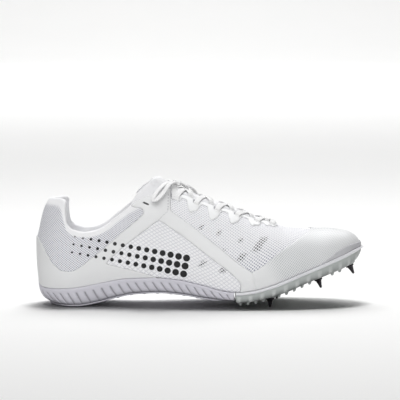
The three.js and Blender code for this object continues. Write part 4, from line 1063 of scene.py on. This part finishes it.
# Levels up the foam's side: share of its height, inset and depth of the grooves in millimetres
FOAM_LEVELS = [
    (0.0, 3.4, 0.3), (0.04, 2.4, 0.5), (0.10, 1.5, 0.7), (0.20, 0.7, 0.9), (0.32, 0.3, 1.0),
    (0.46, 0.05, 1.1), (0.58, 0.0, 1.1), (0.68, 0.0, 0.8), (0.74, 0.0, 0.25), (0.78, 0.0, 0),
    (0.84, -0.1, 0), (0.90, -0.1, 0), (0.96, 0.0, 0), (0.99, 0.2, 0), (1.0, 0.8, 0),
]
RIB_PITCH, RIB_SLANT, GROOVE_WIDTH, RIB_ROUND = 7.4, 7.0, 0.085, 0.45
# Levels up the plate's side: share of its height, inset, depth of the teeth and reach of the lip at the tip
PLATE_LEVELS = [
    (0.0, 3.4, 0, 0), (0.05, 2.3, 0.5, 0), (0.20, 1.4, 0.9, 0), (0.36, 1.2, 0.7, 0), (0.54, 1.1, 0.2, 0),
    (0.64, 1.1, 0, 0), (0.70, 1.1, 0, 0), (0.75, 0.6, 0, 1.4), (0.79, 0.2, 0, 1.4), (0.86, 0.0, 0, 1.4),
    (0.94, 0.1, 0, 1.4), (0.98, 0.4, 0, 1.4), (1.0, 0.9, 0, 0),
]
TOOTH_PITCH, PLATE_START = 11, FOAM_END + 1.1


def foam_low(x):
    return bottom(x) + TREAD_DEPTH


def build_midsole():
    walk = plan_walk(sole_half, SOLE_BACK, FOAM_END)
    girth = FOAM_END + 0.35 * HEEL
    ribs = round(girth / RIB_PITCH)
    shares = np.linspace(0, 1, ribs * 10 + 1)

    def station_at(share, level):
        ends = smooth(share, 0, 0.12) * (1 - smooth(share, 0.93, 1))
        return walk(share + RIB_SLANT / girth * (1 - level) ** 1.35 * ends)

    def from_groove(share):
        return np.abs((share * ribs + 0.5) % 1 - 0.5)

    def groove(share):
        return np.exp(-(from_groove(share) / GROOVE_WIDTH) ** 2)

    def cut(depth):
        def relief(share, x):
            body = RIB_ROUND * (2 * from_groove(share) - 1) ** 2
            return depth * (groove(share) + body) * (share < 0.995)
        return relief

    levels = [(level, inset, cut(depth)) for level, inset, depth in FOAM_LEVELS]
    rings = sole_rings(shares, station_at, levels, foam_low)
    # Strength of the painted shade in the grooves, fading out above the ribbed band.
    level = np.array(FOAM_LEVELS)[:, 0]
    depth = np.pad((0.6 + 0.4 * smooth(level, 0.0, 0.2)) * (1 - smooth(level, 0.68, 0.76)), 1)
    line = np.concatenate([groove(shares)[::-1], groove(shares), [1]])
    piece = loft("ribbed_midsole", rings, values={"groove": np.outer(depth, line)})
    settle(piece, foam_finish(), "foam", "midsole")


def build_plate():
    walk = plan_walk(sole_half, PLATE_START, LENGTH)
    ribs = round((LENGTH - PLATE_START + 0.28 * BALL) / TOOTH_PITCH)
    shares = np.linspace(0, 1, ribs * 12 + 1)

    def teeth(share):
        phase = share * ribs % 1
        return smooth(phase, 0.05, 0.14) * (1 - smooth(phase, 0.36, 0.50)) * (share < 0.97)

    def shaped(depth, reach):
        def relief(share, x):
            return -depth * teeth(share) - reach * smooth(x, 0.92 * LENGTH, 0.985 * LENGTH)
        return relief

    levels = [(level, inset, shaped(depth, reach)) for level, inset, depth, reach in PLATE_LEVELS]
    rings = sole_rings(shares, lambda share, level: walk(share), levels, bottom)
    level = np.array(PLATE_LEVELS)[:, 0]
    wide = np.ones(rings.shape[1])
    lip = np.concatenate([[0], smooth(level, 0.71, 0.79), [1]])
    # Strength of the painted shade: full at the plate's underside, gone above 0.55 of its height.
    painted_shade_low = np.concatenate([[1], 1 - smooth(level, 0.05, 0.55), [0]])
    toothed = np.pad(1 - smooth(level, 0.45, 0.68), 1)
    line = np.concatenate([teeth(shares)[::-1], teeth(shares), [0]])
    body = loft("stud_plate", rings, values={"lip": np.outer(lip, wide), "painted_shade_low": np.outer(painted_shade_low, wide),
                                             "tooth": np.outer(toothed, line)})
    piece = join("stud_plate", [body, *stud_seats(), plate_wedges()])
    settle(piece, plate_finish(), "plate", "spike_plate")


def slab(name, top, under):
    """Closed soft sheet between two layers of rows of points, with its four edges rounded off."""
    half = (top - under) / 2
    centre = (top + under) / 2
    bands = [(math.cos(t), math.sin(t)) for t in np.linspace(0, math.pi, 7)[1:-1]]

    def edge(column, neighbour):
        out = unit(centre[:, column] - centre[:, neighbour])
        reach = np.linalg.norm(half[:, column], axis=-1, keepdims=True)
        return [centre[:, column] + half[:, column] * c + out * reach * 0.8 * s for c, s in bands]

    def all_round(row):
        """A row's values for each column of the rings: over, round an edge, back under, round the other."""
        return np.concatenate([row, np.repeat(row[-1:], len(bands), axis=0), row[::-1],
                               np.repeat(row[:1], len(bands), axis=0), row[:1]])

    columns = [*top.swapaxes(0, 1), *edge(-1, -2), *under.swapaxes(0, 1)[::-1], *edge(0, 1)[::-1], top[:, 0]]
    rings = np.stack(columns, axis=1)
    caps = []
    for end, back in ((0, 1), (-1, -2)):
        flat = all_round(centre[end])
        out = rings[end] - flat
        push = all_round(unit(centre[end] - centre[back])) * np.linalg.norm(out, axis=-1, keepdims=True) * 0.8
        caps.append(np.array([flat + push] + [flat + out * s + push * c for c, s in bands[:3]]))
    rings = np.concatenate([caps[0], rings, caps[1][::-1]])
    round_way = arc_length(rings[len(rings) // 2])
    return loft(name, rings, np.stack(np.meshgrid(round_way, arc_length(rings[:, 0])), axis=-1))


def plan_grid(walk, half, rows, columns):
    """Stations, shares across and places across of a sheet that fills a plan."""
    x, share = np.meshgrid(walk(np.linspace(0.004, 0.996, rows)), np.linspace(-1, 1, columns), indexing="ij")
    return x, share, middle(x) + share * half(x)


TONGUE_TOP, TONGUE_SWEEP, TONGUE_WIDTH = 0.379 * LENGTH, 26.0, 47.0
# How far the tongue lies under the last, where the throat's edge is over it, and how thick it is
TONGUE_DEPTH, TONGUE_THICKNESS = WALL + 0.9, 3.0


def build_tongue():
    up, side = np.meshgrid(np.linspace(0, 1, 80), np.linspace(-1, 1, 41), indexing="ij")
    station = mix(THROAT_END + 12, TONGUE_TOP, up) - TONGUE_SWEEP * side ** 2 * up ** 4
    half = np.abs(side) * TONGUE_WIDTH / 2 * mix(0.8, 1, smooth(up, 0, 0.8))
    far_side = smooth(THROAT_TOP - station, 0, 10) * (side > 0)
    most = mix(1.0, edge_across(station) - 0.045, far_side)
    across = np.sign(side) * np.minimum(across_at_half(station, half), most)
    quilt = 0.25 * np.sin(up * 60) * (1 - side ** 2) * smooth(up, 0.55, 0.7)
    within = 1 - smooth(half / throat_half(np.minimum(station, THROAT_END - 4)), 0.72, 1.02)
    within = within * (1 - smooth(station, THROAT_END - 12, THROAT_END - 5))
    over = near_last(station, across, mix(-TONGUE_DEPTH, 0.8, within) + quilt)
    padding = 1 - 0.6 * np.abs(side) ** 3
    under = near_last(station, across, -TONGUE_DEPTH - TONGUE_THICKNESS * padding)
    piece = slab("tongue_pad", over, under)
    settle(piece, soft_cloth_finish("tongue_cloth", (0.95, 0.95, 0.965), 0.0011), "tongue_cloth", "tongue")


INSOLE_MARGIN = SOLE_MARGIN + WALL + 2.6
INSOLE_BACK, INSOLE_FRONT = UPPER_BACK + WALL + 3, UPPER_FRONT - WALL - 3.4


def insole_half(x):
    return plan_inside(x, INSOLE_MARGIN, INSOLE_BACK, INSOLE_FRONT)


def build_insole():
    x, share, y = plan_grid(plan_walk(insole_half, INSOLE_BACK, INSOLE_FRONT), insole_half, 90, 25)
    edge = 1 - (1 - share ** 2) * np.clip(insole_half(x) / (0.3 * HEEL), 0, 1)
    cup = 2.5 * edge * (1 - smooth(x, 0.2 * LENGTH, 0.45 * LENGTH))
    under = np.stack([x, y, feather(x) + GAP], axis=-1)
    over = np.stack([x, y, feather(x) + GAP + 4.0 + cup], axis=-1)
    look = soft_cloth_finish("insole_cloth", (0.70, 0.70, 0.73), 0.0016)
    settle(slab("insole_bed", over, under), look, "insole_cloth", "insole")


def block(place, *axes):
    """Where a copy of a block goes, in metres: its three axes and its place."""
    return np.vstack([np.array(axes, float) * MM, to_row(place)])


def scatter(name, template, blocks):
    """One mesh of many copies of a modelled piece."""
    corners = corners_of(template)
    faces = [tuple(face.vertices) for face in template.data.polygons]
    points = [corners @ table[:3] + table[3] for table in blocks]
    all_faces = [tuple(k * len(corners) + i for i in face) for k in range(len(blocks)) for face in faces]
    mesh = bpy.data.meshes.new(name)
    mesh.from_pydata(np.concatenate(points).tolist(), [], all_faces)
    bpy.data.objects.remove(template)
    piece = bpy.data.objects.new(name, mesh)
    bpy.context.scene.collection.objects.link(piece)
    edit(piece)
    bpy.ops.mesh.normals_make_consistent(inside=False)
    leave_edit()
    return piece


def tooth_block(taper, round_off):
    """Unit block with a narrower foot and bevelled edges."""
    deselect()
    bpy.ops.mesh.primitive_cube_add(size=1)
    piece = current("tooth")
    for corner in piece.data.vertices:
        if corner.co.z < 0:
            corner.co.x *= taper
            corner.co.y *= taper
    use_modifier(piece, "BEVEL", width=round_off, segments=1)
    return piece


TREAD_MARGIN = SIDE_INSET + 1.2
TREAD_BACK, TREAD_FRONT = SOLE_BACK + HEEL_BEVEL + TREAD_MARGIN - 1.5, FOAM_END - 5
LUG_PITCH, LUG_LENGTH = 5.7, 3.6


def tread_half(x):
    ends = rounding(x - TREAD_BACK, 0.3 * HEEL) * rounding(TREAD_FRONT - x, 0.2 * HEEL)
    return (sole_half(x) - TREAD_MARGIN) * ends


def lug_row(row):
    """Blocks of one row of lugs: close together under the heel, in two wings under the arch."""
    at = HEEL_TO_ORIGIN + row * LUG_PITCH
    edge = tread_half(at) - 1.2
    in_heel = at < 0.2 * LENGTH
    tall = 2.1 if row % 2 == 0 or in_heel else 1.2
    count = 9 if in_heel else 10
    blocks = []
    for k in range(count):
        away = (k + 0.5) / count * 2 - 1
        if not in_heel and abs(away) < 0.12:
            continue
        px = at if in_heel else at + 1.6 * abs(away)
        height = bottom(px) + TREAD_DEPTH - 0.7 - tall / 2 + 0.3
        blocks.append(block([px, middle(px) + away * edge, height],
                            (LUG_LENGTH, 0, LUG_LENGTH * bottom_slope(px)),
                            (0, 1.62 * edge / count, 0), (0, 0, tall)))
    return blocks


def build_tread():
    x, _, y = plan_grid(plan_walk(tread_half, TREAD_BACK, TREAD_FRONT), tread_half, 80, 21)
    top, under = (np.stack([x, y, foam_low(x) - depth], axis=-1) for depth in (0.5, 1.8))
    sheet = slab("tread_sheet", top, under)
    last_row = int((TREAD_FRONT - 6 - HEEL_TO_ORIGIN) / LUG_PITCH)
    blocks = [table for row in range(-2, last_row + 1) for table in lug_row(row)]
    lugs = scatter("tread_teeth", tooth_block(0.72, 0.12), blocks)
    lugs.data.uv_layers.new(name="cloth")
    piece = join("tread_rubber", [sheet, lugs])
    bpy.ops.object.shade_smooth_by_angle(angle=math.radians(35))
    settle(piece, rubber_finish(), "tread_rubber", "outsole_tread")


# Studs: name, share of the length and share of the sole's half width
STUDS = [
    ("spike_rear_outer", 0.712, -0.66), ("spike_rear_inner", 0.740, 0.66),
    ("spike_middle_outer", 0.858, -0.62), ("spike_middle_inner", 0.862, 0.62),
    ("spike_front_outer", 0.957, -0.42), ("spike_front_inner", 0.957, 0.42),
]
STUD_LENGTH, STUD_SEAT = 8.4, 1.2
# Rings of a stud and of its seat: radius, height and count of flat sides, with 0 for round
STUD_PROFILE = [
    (0.0, 0.0, 0), (4.0, 0.0, 6), (4.1, 0.25, 6), (4.1, 1.0, 6), (3.5, 1.35, 6), (2.9, 1.5, 0),
    (2.65, 1.75, 0), (2.4, 2.2, 0), (1.9, 3.8, 0), (1.45, 5.6, 0), (1.1, 7.4, 0), (0.9, 8.1, 0),
    (0.6, STUD_LENGTH, 0), (0.0, STUD_LENGTH, 0),
]
SEAT_PROFILE = [
    (0.0, -5.0, 0), (7.2, -5.0, 0), (6.6, -3.4, 0), (6.0, -1.6, 0), (5.7, -0.7, 0), (5.2, -0.35, 0),
    (4.5, -0.3, 0), (0.0, -0.3, 0),
]


def stud_spot(at, across):
    x = at * LENGTH
    return x, middle(x) + across * sole_half(x)


def stud_frame(at, across):
    """Place of a stud's base and its three ways, the last one down, in millimetres."""
    x, y = stud_spot(at, across)
    slope = bottom_slope(x)
    rear = at < 0.8
    down = np.array([0, 0, -1.0]) if rear else np.array([slope, 0, -1.0]) / math.hypot(slope, 1)
    along = unit(np.cross([0, 1, 0], down))
    height = bottom(x)
    reach = max(height - STUD_LENGTH, STUD_SEAT) if rear else STUD_SEAT
    return np.array([x, y, height]) + down * reach, along, np.cross(down, along), down


def round_rings(place, steps, profile):
    """Rings round a stud's axis."""
    base, along, over, down = place
    turn = np.linspace(0, math.tau, steps + 1)
    rings = []
    for radius, height, sides in profile:
        reach = radius * np.ones_like(turn)
        if sides:
            corner = math.pi / sides
            reach = radius * math.cos(corner) / np.cos((turn + corner) % (math.tau / sides) - corner)
            reach = np.minimum(reach, radius * 0.985)
        rings.append(base + np.outer(np.cos(turn) * reach, along) + np.outer(np.sin(turn) * reach, over)
                     + down * height)
    return rings


def build_studs():
    look = steel_finish()
    for name, at, across in STUDS:
        rings = round_rings(stud_frame(at, across), 36, STUD_PROFILE)
        piece = loft(name.replace("spike", "stud"), rings, angle=math.radians(35))
        settle(piece, look, "stud_steel", name)


def stud_seats():
    return [loft(f"seat_{name}", round_rings(stud_frame(at, across), 32, SEAT_PROFILE),
                 angle=math.radians(40)) for name, at, across in STUDS]


# Wedges in one row of the plate: start from the edge, width and height
WEDGES = [(0.0, 7.0, 3.2), (10.5, 6.0, 1.7), (18.5, 5.0, 1.2)]
WEDGE_LENGTH = 3.2


def plate_wedges():
    """Low wedges under the plate, clear of the studs and of its middle line."""
    spots = [stud_spot(at, across) for name, at, across in STUDS]
    blocks = []
    for at in np.arange(0.625, 0.965, 0.0235):
        x = at * LENGTH
        half = sole_half(x) - SIDE_INSET - 0.6
        for side in (OUTER, INNER):
            for k, (start, wide, tall) in enumerate(WEDGES):
                px = x + side * 1.2 - k * 1.5
                y = middle(px) + side * (half - start - wide / 2)
                clear = all(math.hypot(px - stud_x, y - stud_y) >= 8.5 for stud_x, stud_y in spots)
                if start + wide <= half - 3 and clear:
                    blocks.append(block([px, y, bottom(px) - tall * 0.28],
                                        (WEDGE_LENGTH, 0, WEDGE_LENGTH * bottom_slope(x)),
                                        (0.5 * side, wide, 0), (0, 0, tall)))
    return scatter("plate_wedges", tooth_block(0.55, 0.1), blocks)


def lace_strip(name, path, facing, wide, thick, ribs=0.0):
    """Flat lace along a path: a rounded flat section swept with its flat side facing a way."""
    along = unit(np.gradient(path, axis=0))
    out = unit(facing - along * np.sum(facing * along, axis=1, keepdims=True))
    across = np.cross(along, out)
    turn = np.linspace(0, math.tau, 17)
    c, s = np.cos(turn), np.sin(turn)
    section_y = np.sign(c) * np.abs(c) ** 0.7 * wide / 2
    section_z = np.sign(s) * np.abs(s) ** 0.8 * thick / 2 * (1 - 0.25 * (1 - np.abs(c)))
    scale = (1 + ribs * np.sin(arc_length(path) * math.tau / 1.9))[:, None, None]
    rings = path[:, None] + across[:, None] * (section_y[None, :, None] * scale) \
        + out[:, None] * section_z[None, :, None] * scale

    def cap(end, way):
        """Two rings that close an end: a point just past it, then one half as wide."""
        point = path[end] + along[end] * way * thick * 0.2
        return [np.repeat(point[None], len(turn), axis=0),
                (rings[end] + path[end]) / 2 + along[end] * way * thick * 0.15]

    rings = np.concatenate([cap(0, -1), rings, cap(-1, 1)[::-1]])
    round_way = arc_length(np.stack([section_y, section_z], axis=-1))
    arc = arc_length(rings.mean(axis=1))
    return loft(name, rings, np.stack(np.meshgrid(round_way, arc)[::-1], axis=-1))


KNOT_SIZE, KNOT_FLATNESS, KNOT_TILT = 10.0, 0.62, math.pi / 7
# Height over the last of the top of the solids' lace bars, which the knot clears
BAR_TOP = 0.8
KNOT = near_last(EYELETS[0] * LENGTH, 0.0, BAR_TOP + GAP + KNOT_FLATNESS * KNOT_SIZE / 2)
# Ways of the bow's four cords from the knot's middle, in millimetres
LACE_PATHS = {
    "lace_loop_outer": [(-4.6, -2.7, 0.6), (-9, -9.5, 0.8), (-14, -18, -2.5), (-18.5, -25, -7.5),
                        (-20.5, -30, -12), (-17.5, -30.3, -12.3), (-12.5, -25.5, -7.5), (-6.5, -17, 0.2),
                        (-1.5, -5.3, 0.8)],
    "lace_loop_inner": [(-3.4, 4.1, 0.6), (-7, 12, 0.8), (-11, 20.5, -3.5), (-14.5, 26.5, -9.5),
                        (-16, 30.5, -14.5), (-12, 31, -15.2), (-8.5, 26.5, -8.5), (-4, 19, -0.2),
                        (0.5, 5.4, 0.7)],
    "lace_end_outer": [(4.1, 3.4, -0.9), (7.5, 12, -5.0), (9, 20, -11), (9.2, 26, -17), (8.7, 30, -24)],
    "lace_end_inner": [(5.3, 0.2, -0.9), (10.5, 2.6, -3.4), (15, 11, -8.2), (18, 20.5, -15.5),
                       (19, 26.8, -22.5)],
}
BOW_THICKNESS, WRAP_THICKNESS, FLAT_THICKNESS = 1.9, 1.5, 1.2


def lace_look():
    return bpy.data.materials.get("flat_lace") or lace_finish()


def build_bow(look, knot):
    wide = sizes().bow_width / MM
    for name, offsets in LACE_PATHS.items():
        path = rounded(np.array(offsets) + KNOT, 0.45)
        away = path - (KNOT + (-6, 0, -60))
        piece = lace_strip(name.replace("lace_", "bow_"), path, away, wide, BOW_THICKNESS, 0.10)
        settle(piece, look, "lace", name)


def build_knot(look):
    """Knot of the bow: the lace wound twice round itself, over a soft core."""
    turn = np.linspace(0, math.tau, 41)
    tilt = np.array([[math.cos(KNOT_TILT), 0, -math.sin(KNOT_TILT)], [0, 1, 0],
                     [math.sin(KNOT_TILT), 0, math.cos(KNOT_TILT)]])
    facing = np.stack([0 * turn, np.cos(turn), np.sin(turn)], axis=-1) @ tilt
    pieces = []
    for lean, wide, grow in [(0.35, 4.2, 1.0), (-0.5, 3.6, 0.86)]:
        ring = np.stack([np.sin(turn) * lean * 2.5, np.cos(turn) * 3.4 * grow, np.sin(turn) * 2.2 * grow],
                        axis=-1)
        pieces.append(lace_strip("knot_wrap", ring @ tilt + KNOT, facing, wide, WRAP_THICKNESS))
    deselect()
    bpy.ops.mesh.primitive_uv_sphere_add(segments=24, ring_count=14, radius=1)
    core = current("knot_core")
    points = corners_of(core)
    pinch = 1 - 0.25 * (1 - points[:, :1] ** 2)
    place_corners(core, to_row(points * (4.6, 3.4, 2.3) * pinch @ tilt + KNOT))
    core.data.uv_layers.active.name = "cloth"
    pieces.append(finish_mesh(core))
    return settle(join("bow_knot", pieces), look, "lace", "lace_knot")


def lace_path(start, end):
    """Way of the lace: up out of a slot, over the tongue and down under the throat's other edge."""
    t = np.linspace(0, 1, 41)
    station, half = mix(start[0], end[0], t), mix(start[1], end[1], t)
    across = np.sign(half) * across_at_half(station, np.abs(half))
    edge = throat_half(station + 2.5)
    lift = mix(-0.9, 1.7, smooth(np.abs(half - half[0]), 0, 1.8))
    under = smooth(half * np.sign(end[1]), edge - 4.0, edge + 1.0)
    return near_last(station, across, mix(lift, -2.6, under)), last_normal(station, across)


def build_crossings(look):
    wide = sizes().lace_width / MM
    pieces = []
    for near, far in zip(EYELETS, EYELETS[1:]):
        here, there = near * LENGTH, far * LENGTH
        for side in (OUTER, INNER):
            path, out = lace_path((here + 0.4, side * (throat_half(here) + 6.4)),
                                  (there - 1.5, -side * (throat_half(there) + 2.0)))
            raised = path + out * (0.5 if side == INNER else 0.0)
            pieces.append(lace_strip("crossing", raised, out, wide, FLAT_THICKNESS))
    for side in (OUTER, INNER):
        for at, shift in ((EYELETS[0], -2.0), (EYELETS[-1], 2.2)):
            here = at * LENGTH
            path, out = lace_path((here + 0.3 * shift, side * (throat_half(here) + 6.0)),
                                  (here + shift, -side * 1.5))
            pieces.append(lace_strip("bar", path, out, wide, FLAT_THICKNESS))
    settle(join("lace_crossings", pieces), look, "lace", "lace_bars")


FINGERS = (8.0, 16.0, 17.5, 17.0, 14.0, 9.0)
SLOT_LENGTH, SLOT_WIDTH = 5.4, 2.2


def under_edge(x, depth):
    """Shares round and up the upper of places below the throat's edge, by the way along the surface."""
    found = []
    for at, down in zip(x, depth):
        start = -across_at_half(at, throat_half(at))
        points = last_point(np.full(80, at), np.linspace(start, start - 0.35, 80))
        arc = arc_length(points)
        target = np.array([np.interp(down, arc, line) for line in points.T])
        found.append(nearest_shares(np.sum((LOOK_POINTS - target) ** 2, axis=-1)))
    return np.array(found)


def stay_outline():
    """Outline of the eyestay: a scalloped strip with a finger by each slot, notched at the slots."""
    start, end = THROAT_TOP + 5, THROAT_END - 2.5
    low = [(start, 0.4), (start, 5.5)]
    for at, finger in zip(EYELETS, FINGERS):
        x = at * LENGTH
        low += [(x - 8.4, 4.6), (x - 7.0, 5.8), (x - 6.0, 0.75 * finger), (x - 4.6, 0.97 * finger),
                (x - 2.6, finger), (x - 0.4, 0.88 * finger), (x + 2.0, 0.5 * finger + 5.0), (x + 4.2, 8.4),
                (x + 5.4, 6.4), (x + 6.2, 4.8)]
    low = sorted((row for row in low if row[0] > start - 0.1), key=lambda row: row[0])
    low = rounded([*low, (end, 4.6)], 0.8)
    away, top = SLOT_WIDTH / 2, 3.9 + SLOT_LENGTH / 2
    high = []
    for at in reversed(EYELETS):
        x = at * LENGTH
        high += [(x + 4.0, 0.5), (x + away + 0.4, 0.5), (x + away, 1.0), (x + away, top - 0.6),
                 (x + 0.5, top), (x - 0.5, top), (x - away, top - 0.6), (x - away, 1.0),
                 (x - away - 0.4, 0.5), (x - 4.0, 0.5)]
    high = divided([row for row in high if start < row[0] < end], False, 1.2)
    rows = np.concatenate([low, [(end, 0.5)], high])
    return under_edge(rows[:, 0], np.maximum(rows[:, 1], 0.4))


def build_stays():
    outline = stay_outline()
    for side, name in SIDES:
        film(f"eyestay_{name}_film", film_finish(f"eyestay_{name}_film", edge=0.10, bright=1.11),
             f"eyestay_{name}", patch("eyestay", outline, 0.8, cell=2.0, rim=0.3, side=side))


def on_film(seen, side, lift):
    """Point, outward way and ways along and up at a side-view place of the upper."""
    share, v = on_upper([seen])[0]
    station, across = upper_place(share, v, side)
    out = last_normal(station, across)
    along = unit(np.array([1.0, 0, 0]) - out * out[0])
    return near_last(station, across, lift), out, along, np.cross(out, along)


# Places of the trims, seen from the side in millimetres
SPARE_SLOT, SLOT_LEAN = (95.5, 89.5), math.radians(-24)
STITCH_FOOT, STITCH_PITCH = np.array([114.8, 84.5]), 2.3
SEAM_START, SEAM_END = np.array([107.2, 76.3]), np.array([114.6, 83.0])


def build_trims():
    """The spare slot by the collar, a dark block of painted shadow where the slot's hole is, and the row of
    stitches and short seam under the bow.
    """
    slots, stitches = [], []
    for side in (OUTER, INNER):
        place, out, along, over = on_film(SPARE_SLOT, side, 0.75)
        turn = -side * SLOT_LEAN
        way = along * math.cos(turn) + over * math.sin(turn)
        slots.append(block(place, way * 6.2, np.cross(out, way) * 1.7, out * 0.5))
        for k in range(6):
            place, out, along, over = on_film(STITCH_FOOT + (0, STITCH_PITCH * k), side, 0.9)
            stitches.append(block(place, over * 1.3, along * 0.8, out * 0.9))
        for t in np.linspace(0, 1, 9):
            place, out, along, over = on_film(mix(SEAM_START, SEAM_END, t), side, 0.7)
            way = along * 0.745 - over * 0.667 * side
            stitches.append(block(place, way * 1.2, np.cross(out, way) * 0.5, out * 0.6))
    # The spare slots are dark blocks on the film: painted shadow of the slot's hole.
    settle(scatter("spare_slots", tooth_block(1.0, 0.24), slots),
           plain_finish("slot_shadow", 0.9, 1500.0, (0.05, 0.05, 0.055), (0.09, 0.09, 0.095)), None)
    settle(scatter("seam_stitches", tooth_block(1.0, 0.3), stitches),
           plain_finish("stitch_thread", 0.8, 2500.0, (0.42, 0.42, 0.44), (0.52, 0.52, 0.54)), None)


# The photograph: its angle above the floor, its middle in metres, and its size and one pixel's size
CAMERA_TILT, CAMERA_AIM, CAMERA_AWAY = math.radians(4.75), np.array([0.1179, 0.0, 0.0907]), 2.0
PHOTO_PIXELS, PIXEL, SENSOR = 400, 0.8745 * MM, 36
# Lamps: place, aim, power, size and what they light, with None for all
LAMPS = [
    ((0.20, 0.42, 1.6), (0.12, 0, 0), 16.5, 0.42, "floor"),
    ((0.12, 0.20, 1.6), (0.12, 0, 0), 13, 0.9, "shoe"),
    ((0.1, 6.0, 6.0), (0.1, 6.0, 0), 560, 6.0, None),
    ((0.0, -2.2, 1.1), (0.12, 0, 0.06), 33, 1.4, "shoe"),
]


def build_floor():
    """Pale floor that turns up into a wall behind the shoe."""
    turn = np.linspace(0.1, math.pi / 2, 14)
    reach = np.concatenate([np.linspace(-3.0, 9.0, 13), 9.0 + 3.0 * np.sin(turn), np.full(4, 12.0)])
    rise = np.concatenate([np.zeros(13), 3.0 * (1 - np.cos(turn)), np.linspace(4, 7, 4)])
    deselect()
    bpy.ops.mesh.primitive_grid_add(x_subdivisions=1, y_subdivisions=len(reach) - 1, size=1)
    floor = current("studio_floor")
    place_corners(floor, [[(x, y, z - 0.00005) for x in (-8, 8)] for y, z in zip(reach, rise)])
    bpy.ops.object.shade_smooth()
    look = plain_finish("pale_floor", 0.9, 3.0, (0.91, 0.91, 0.905), (0.93, 0.93, 0.925))
    floor.data.materials.append(look)
    return floor


def light_world():
    world = bpy.data.worlds.new("studio")
    world.use_nodes = True
    background = world.node_tree.nodes["Background"].inputs
    background["Color"].default_value = (1, 1, 1, 1)
    background["Strength"].default_value = 0.08
    bpy.context.scene.world = world


class SHOE_OT_camera(bpy.types.Operator):
    """Set the camera at the photograph's angle"""

    bl_idname = "shoe.camera"
    bl_label = "Camera"

    def execute(self, context):
        back = np.array([0, -math.cos(CAMERA_TILT), math.sin(CAMERA_TILT)])
        bpy.ops.object.camera_add(location=CAMERA_AIM + CAMERA_AWAY * back,
                                  rotation=(math.pi / 2 - CAMERA_TILT, 0, 0))
        camera = context.object
        camera.data.sensor_width = SENSOR
        camera.data.lens = SENSOR * CAMERA_AWAY / (PHOTO_PIXELS * PIXEL)
        camera.data.clip_start, camera.data.clip_end = 0.05, 60
        context.scene.camera = camera
        return {"FINISHED"}


class SHOE_OT_bow(bpy.types.Operator):
    """Tie the bow: two loops, two ends and the knot"""

    bl_idname = "shoe.bow"
    bl_label = "Bow"

    def execute(self, context):
        build_bow(lace_look(), build_knot(lace_look()))
        return {"FINISHED"}


class SHOE_OT_lacing(bpy.types.Operator):
    """Run the flat lace through the slots and over the tongue"""

    bl_idname = "shoe.lacing"
    bl_label = "Lacing"

    def execute(self, context):
        build_crossings(lace_look())
        return {"FINISHED"}


class SHOE_OT_upper(bpy.types.Operator):
    """Lay the cloth of the upper over the last, with its padded collar and lining"""

    bl_idname = "shoe.upper"
    bl_label = "Upper"

    def execute(self, context):
        build_upper()
        return {"FINISHED"}


class SHOE_OT_inside(bpy.types.Operator):
    """Pad the tongue and lay the insole"""

    bl_idname = "shoe.inside"
    bl_label = "Tongue and insole"

    def execute(self, context):
        build_tongue()
        build_insole()
        return {"FINISHED"}


class SHOE_OT_films(bpy.types.Operator):
    """Press the smooth films on the quarters, the throat and the toe, and add the small trims"""

    bl_idname = "shoe.films"
    bl_label = "Films"

    def execute(self, context):
        build_quarters()
        build_stays()
        build_toe()
        build_trims()
        return {"FINISHED"}


class SHOE_OT_sole(bpy.types.Operator):
    """Form the ribbed foam, its tread and the stud plate"""

    bl_idname = "shoe.sole"
    bl_label = "Sole"

    def execute(self, context):
        build_midsole()
        build_tread()
        build_plate()
        return {"FINISHED"}


class SHOE_OT_studs(bpy.types.Operator):
    """Turn the six steel studs"""

    bl_idname = "shoe.studs"
    bl_label = "Studs"

    def execute(self, context):
        build_studs()
        return {"FINISHED"}


class SHOE_OT_stage(bpy.types.Operator):
    """Lay a pale floor and set soft studio light"""

    bl_idname = "shoe.stage"
    bl_label = "Stage"

    def execute(self, context):
        shoe = [thing for thing in context.scene.objects if thing.type == "MESH"]
        floor = build_floor()
        light_world()
        lit = {None: None}
        for name, things in (("shoe", shoe), ("floor", [floor])):
            lit[name] = bpy.data.collections.new(f"lit_{name}")
            for thing in things:
                lit[name].objects.link(thing)
        for place, aim, power, size, receivers in LAMPS:
            bpy.ops.object.light_add(type="AREA", radius=size, location=place)
            lamp = context.object
            lamp.data.energy, lamp.data.size = power, size
            lamp.rotation_mode = "QUATERNION"
            lamp.rotation_quaternion = (Vector(aim) - Vector(place)).to_track_quat("-Z", "Y")
            lamp.light_linking.receiver_collection = lit[receivers]
        context.scene.view_settings.view_transform = "Standard"
        return {"FINISHED"}


class SHOE_PT_panel(bpy.types.Panel):
    """Lists the pieces of the shoe"""

    bl_idname = "SHOE_PT_panel"
    bl_label = "Track spike shoe"
    bl_space_type = "VIEW_3D"
    bl_region_type = "UI"
    bl_category = "Shoe"

    def draw(self, context):
        for operator in OPERATORS:
            self.layout.operator(operator.bl_idname)


OPERATORS = (SHOE_OT_camera, SHOE_OT_bow, SHOE_OT_lacing, SHOE_OT_upper, SHOE_OT_inside, SHOE_OT_films,
             SHOE_OT_sole, SHOE_OT_studs, SHOE_OT_stage)
CLASSES = (ShoeSizes, ShoeColours, *OPERATORS, SHOE_PT_panel)


def register():
    for kind in CLASSES:
        bpy.utils.register_class(kind)
    bpy.types.Scene.shoe_sizes = bpy.props.PointerProperty(type=ShoeSizes)
    bpy.types.Scene.shoe_colours = bpy.props.PointerProperty(type=ShoeColours)


def unregister():
    del bpy.types.Scene.shoe_colours
    del bpy.types.Scene.shoe_sizes
    for kind in reversed(CLASSES):
        bpy.utils.unregister_class(kind)


def main():
    register()
    for operator in OPERATORS:
        getattr(bpy.ops.shoe, operator.bl_idname.split(".")[1])()


if __name__ == "__main__":
    main()
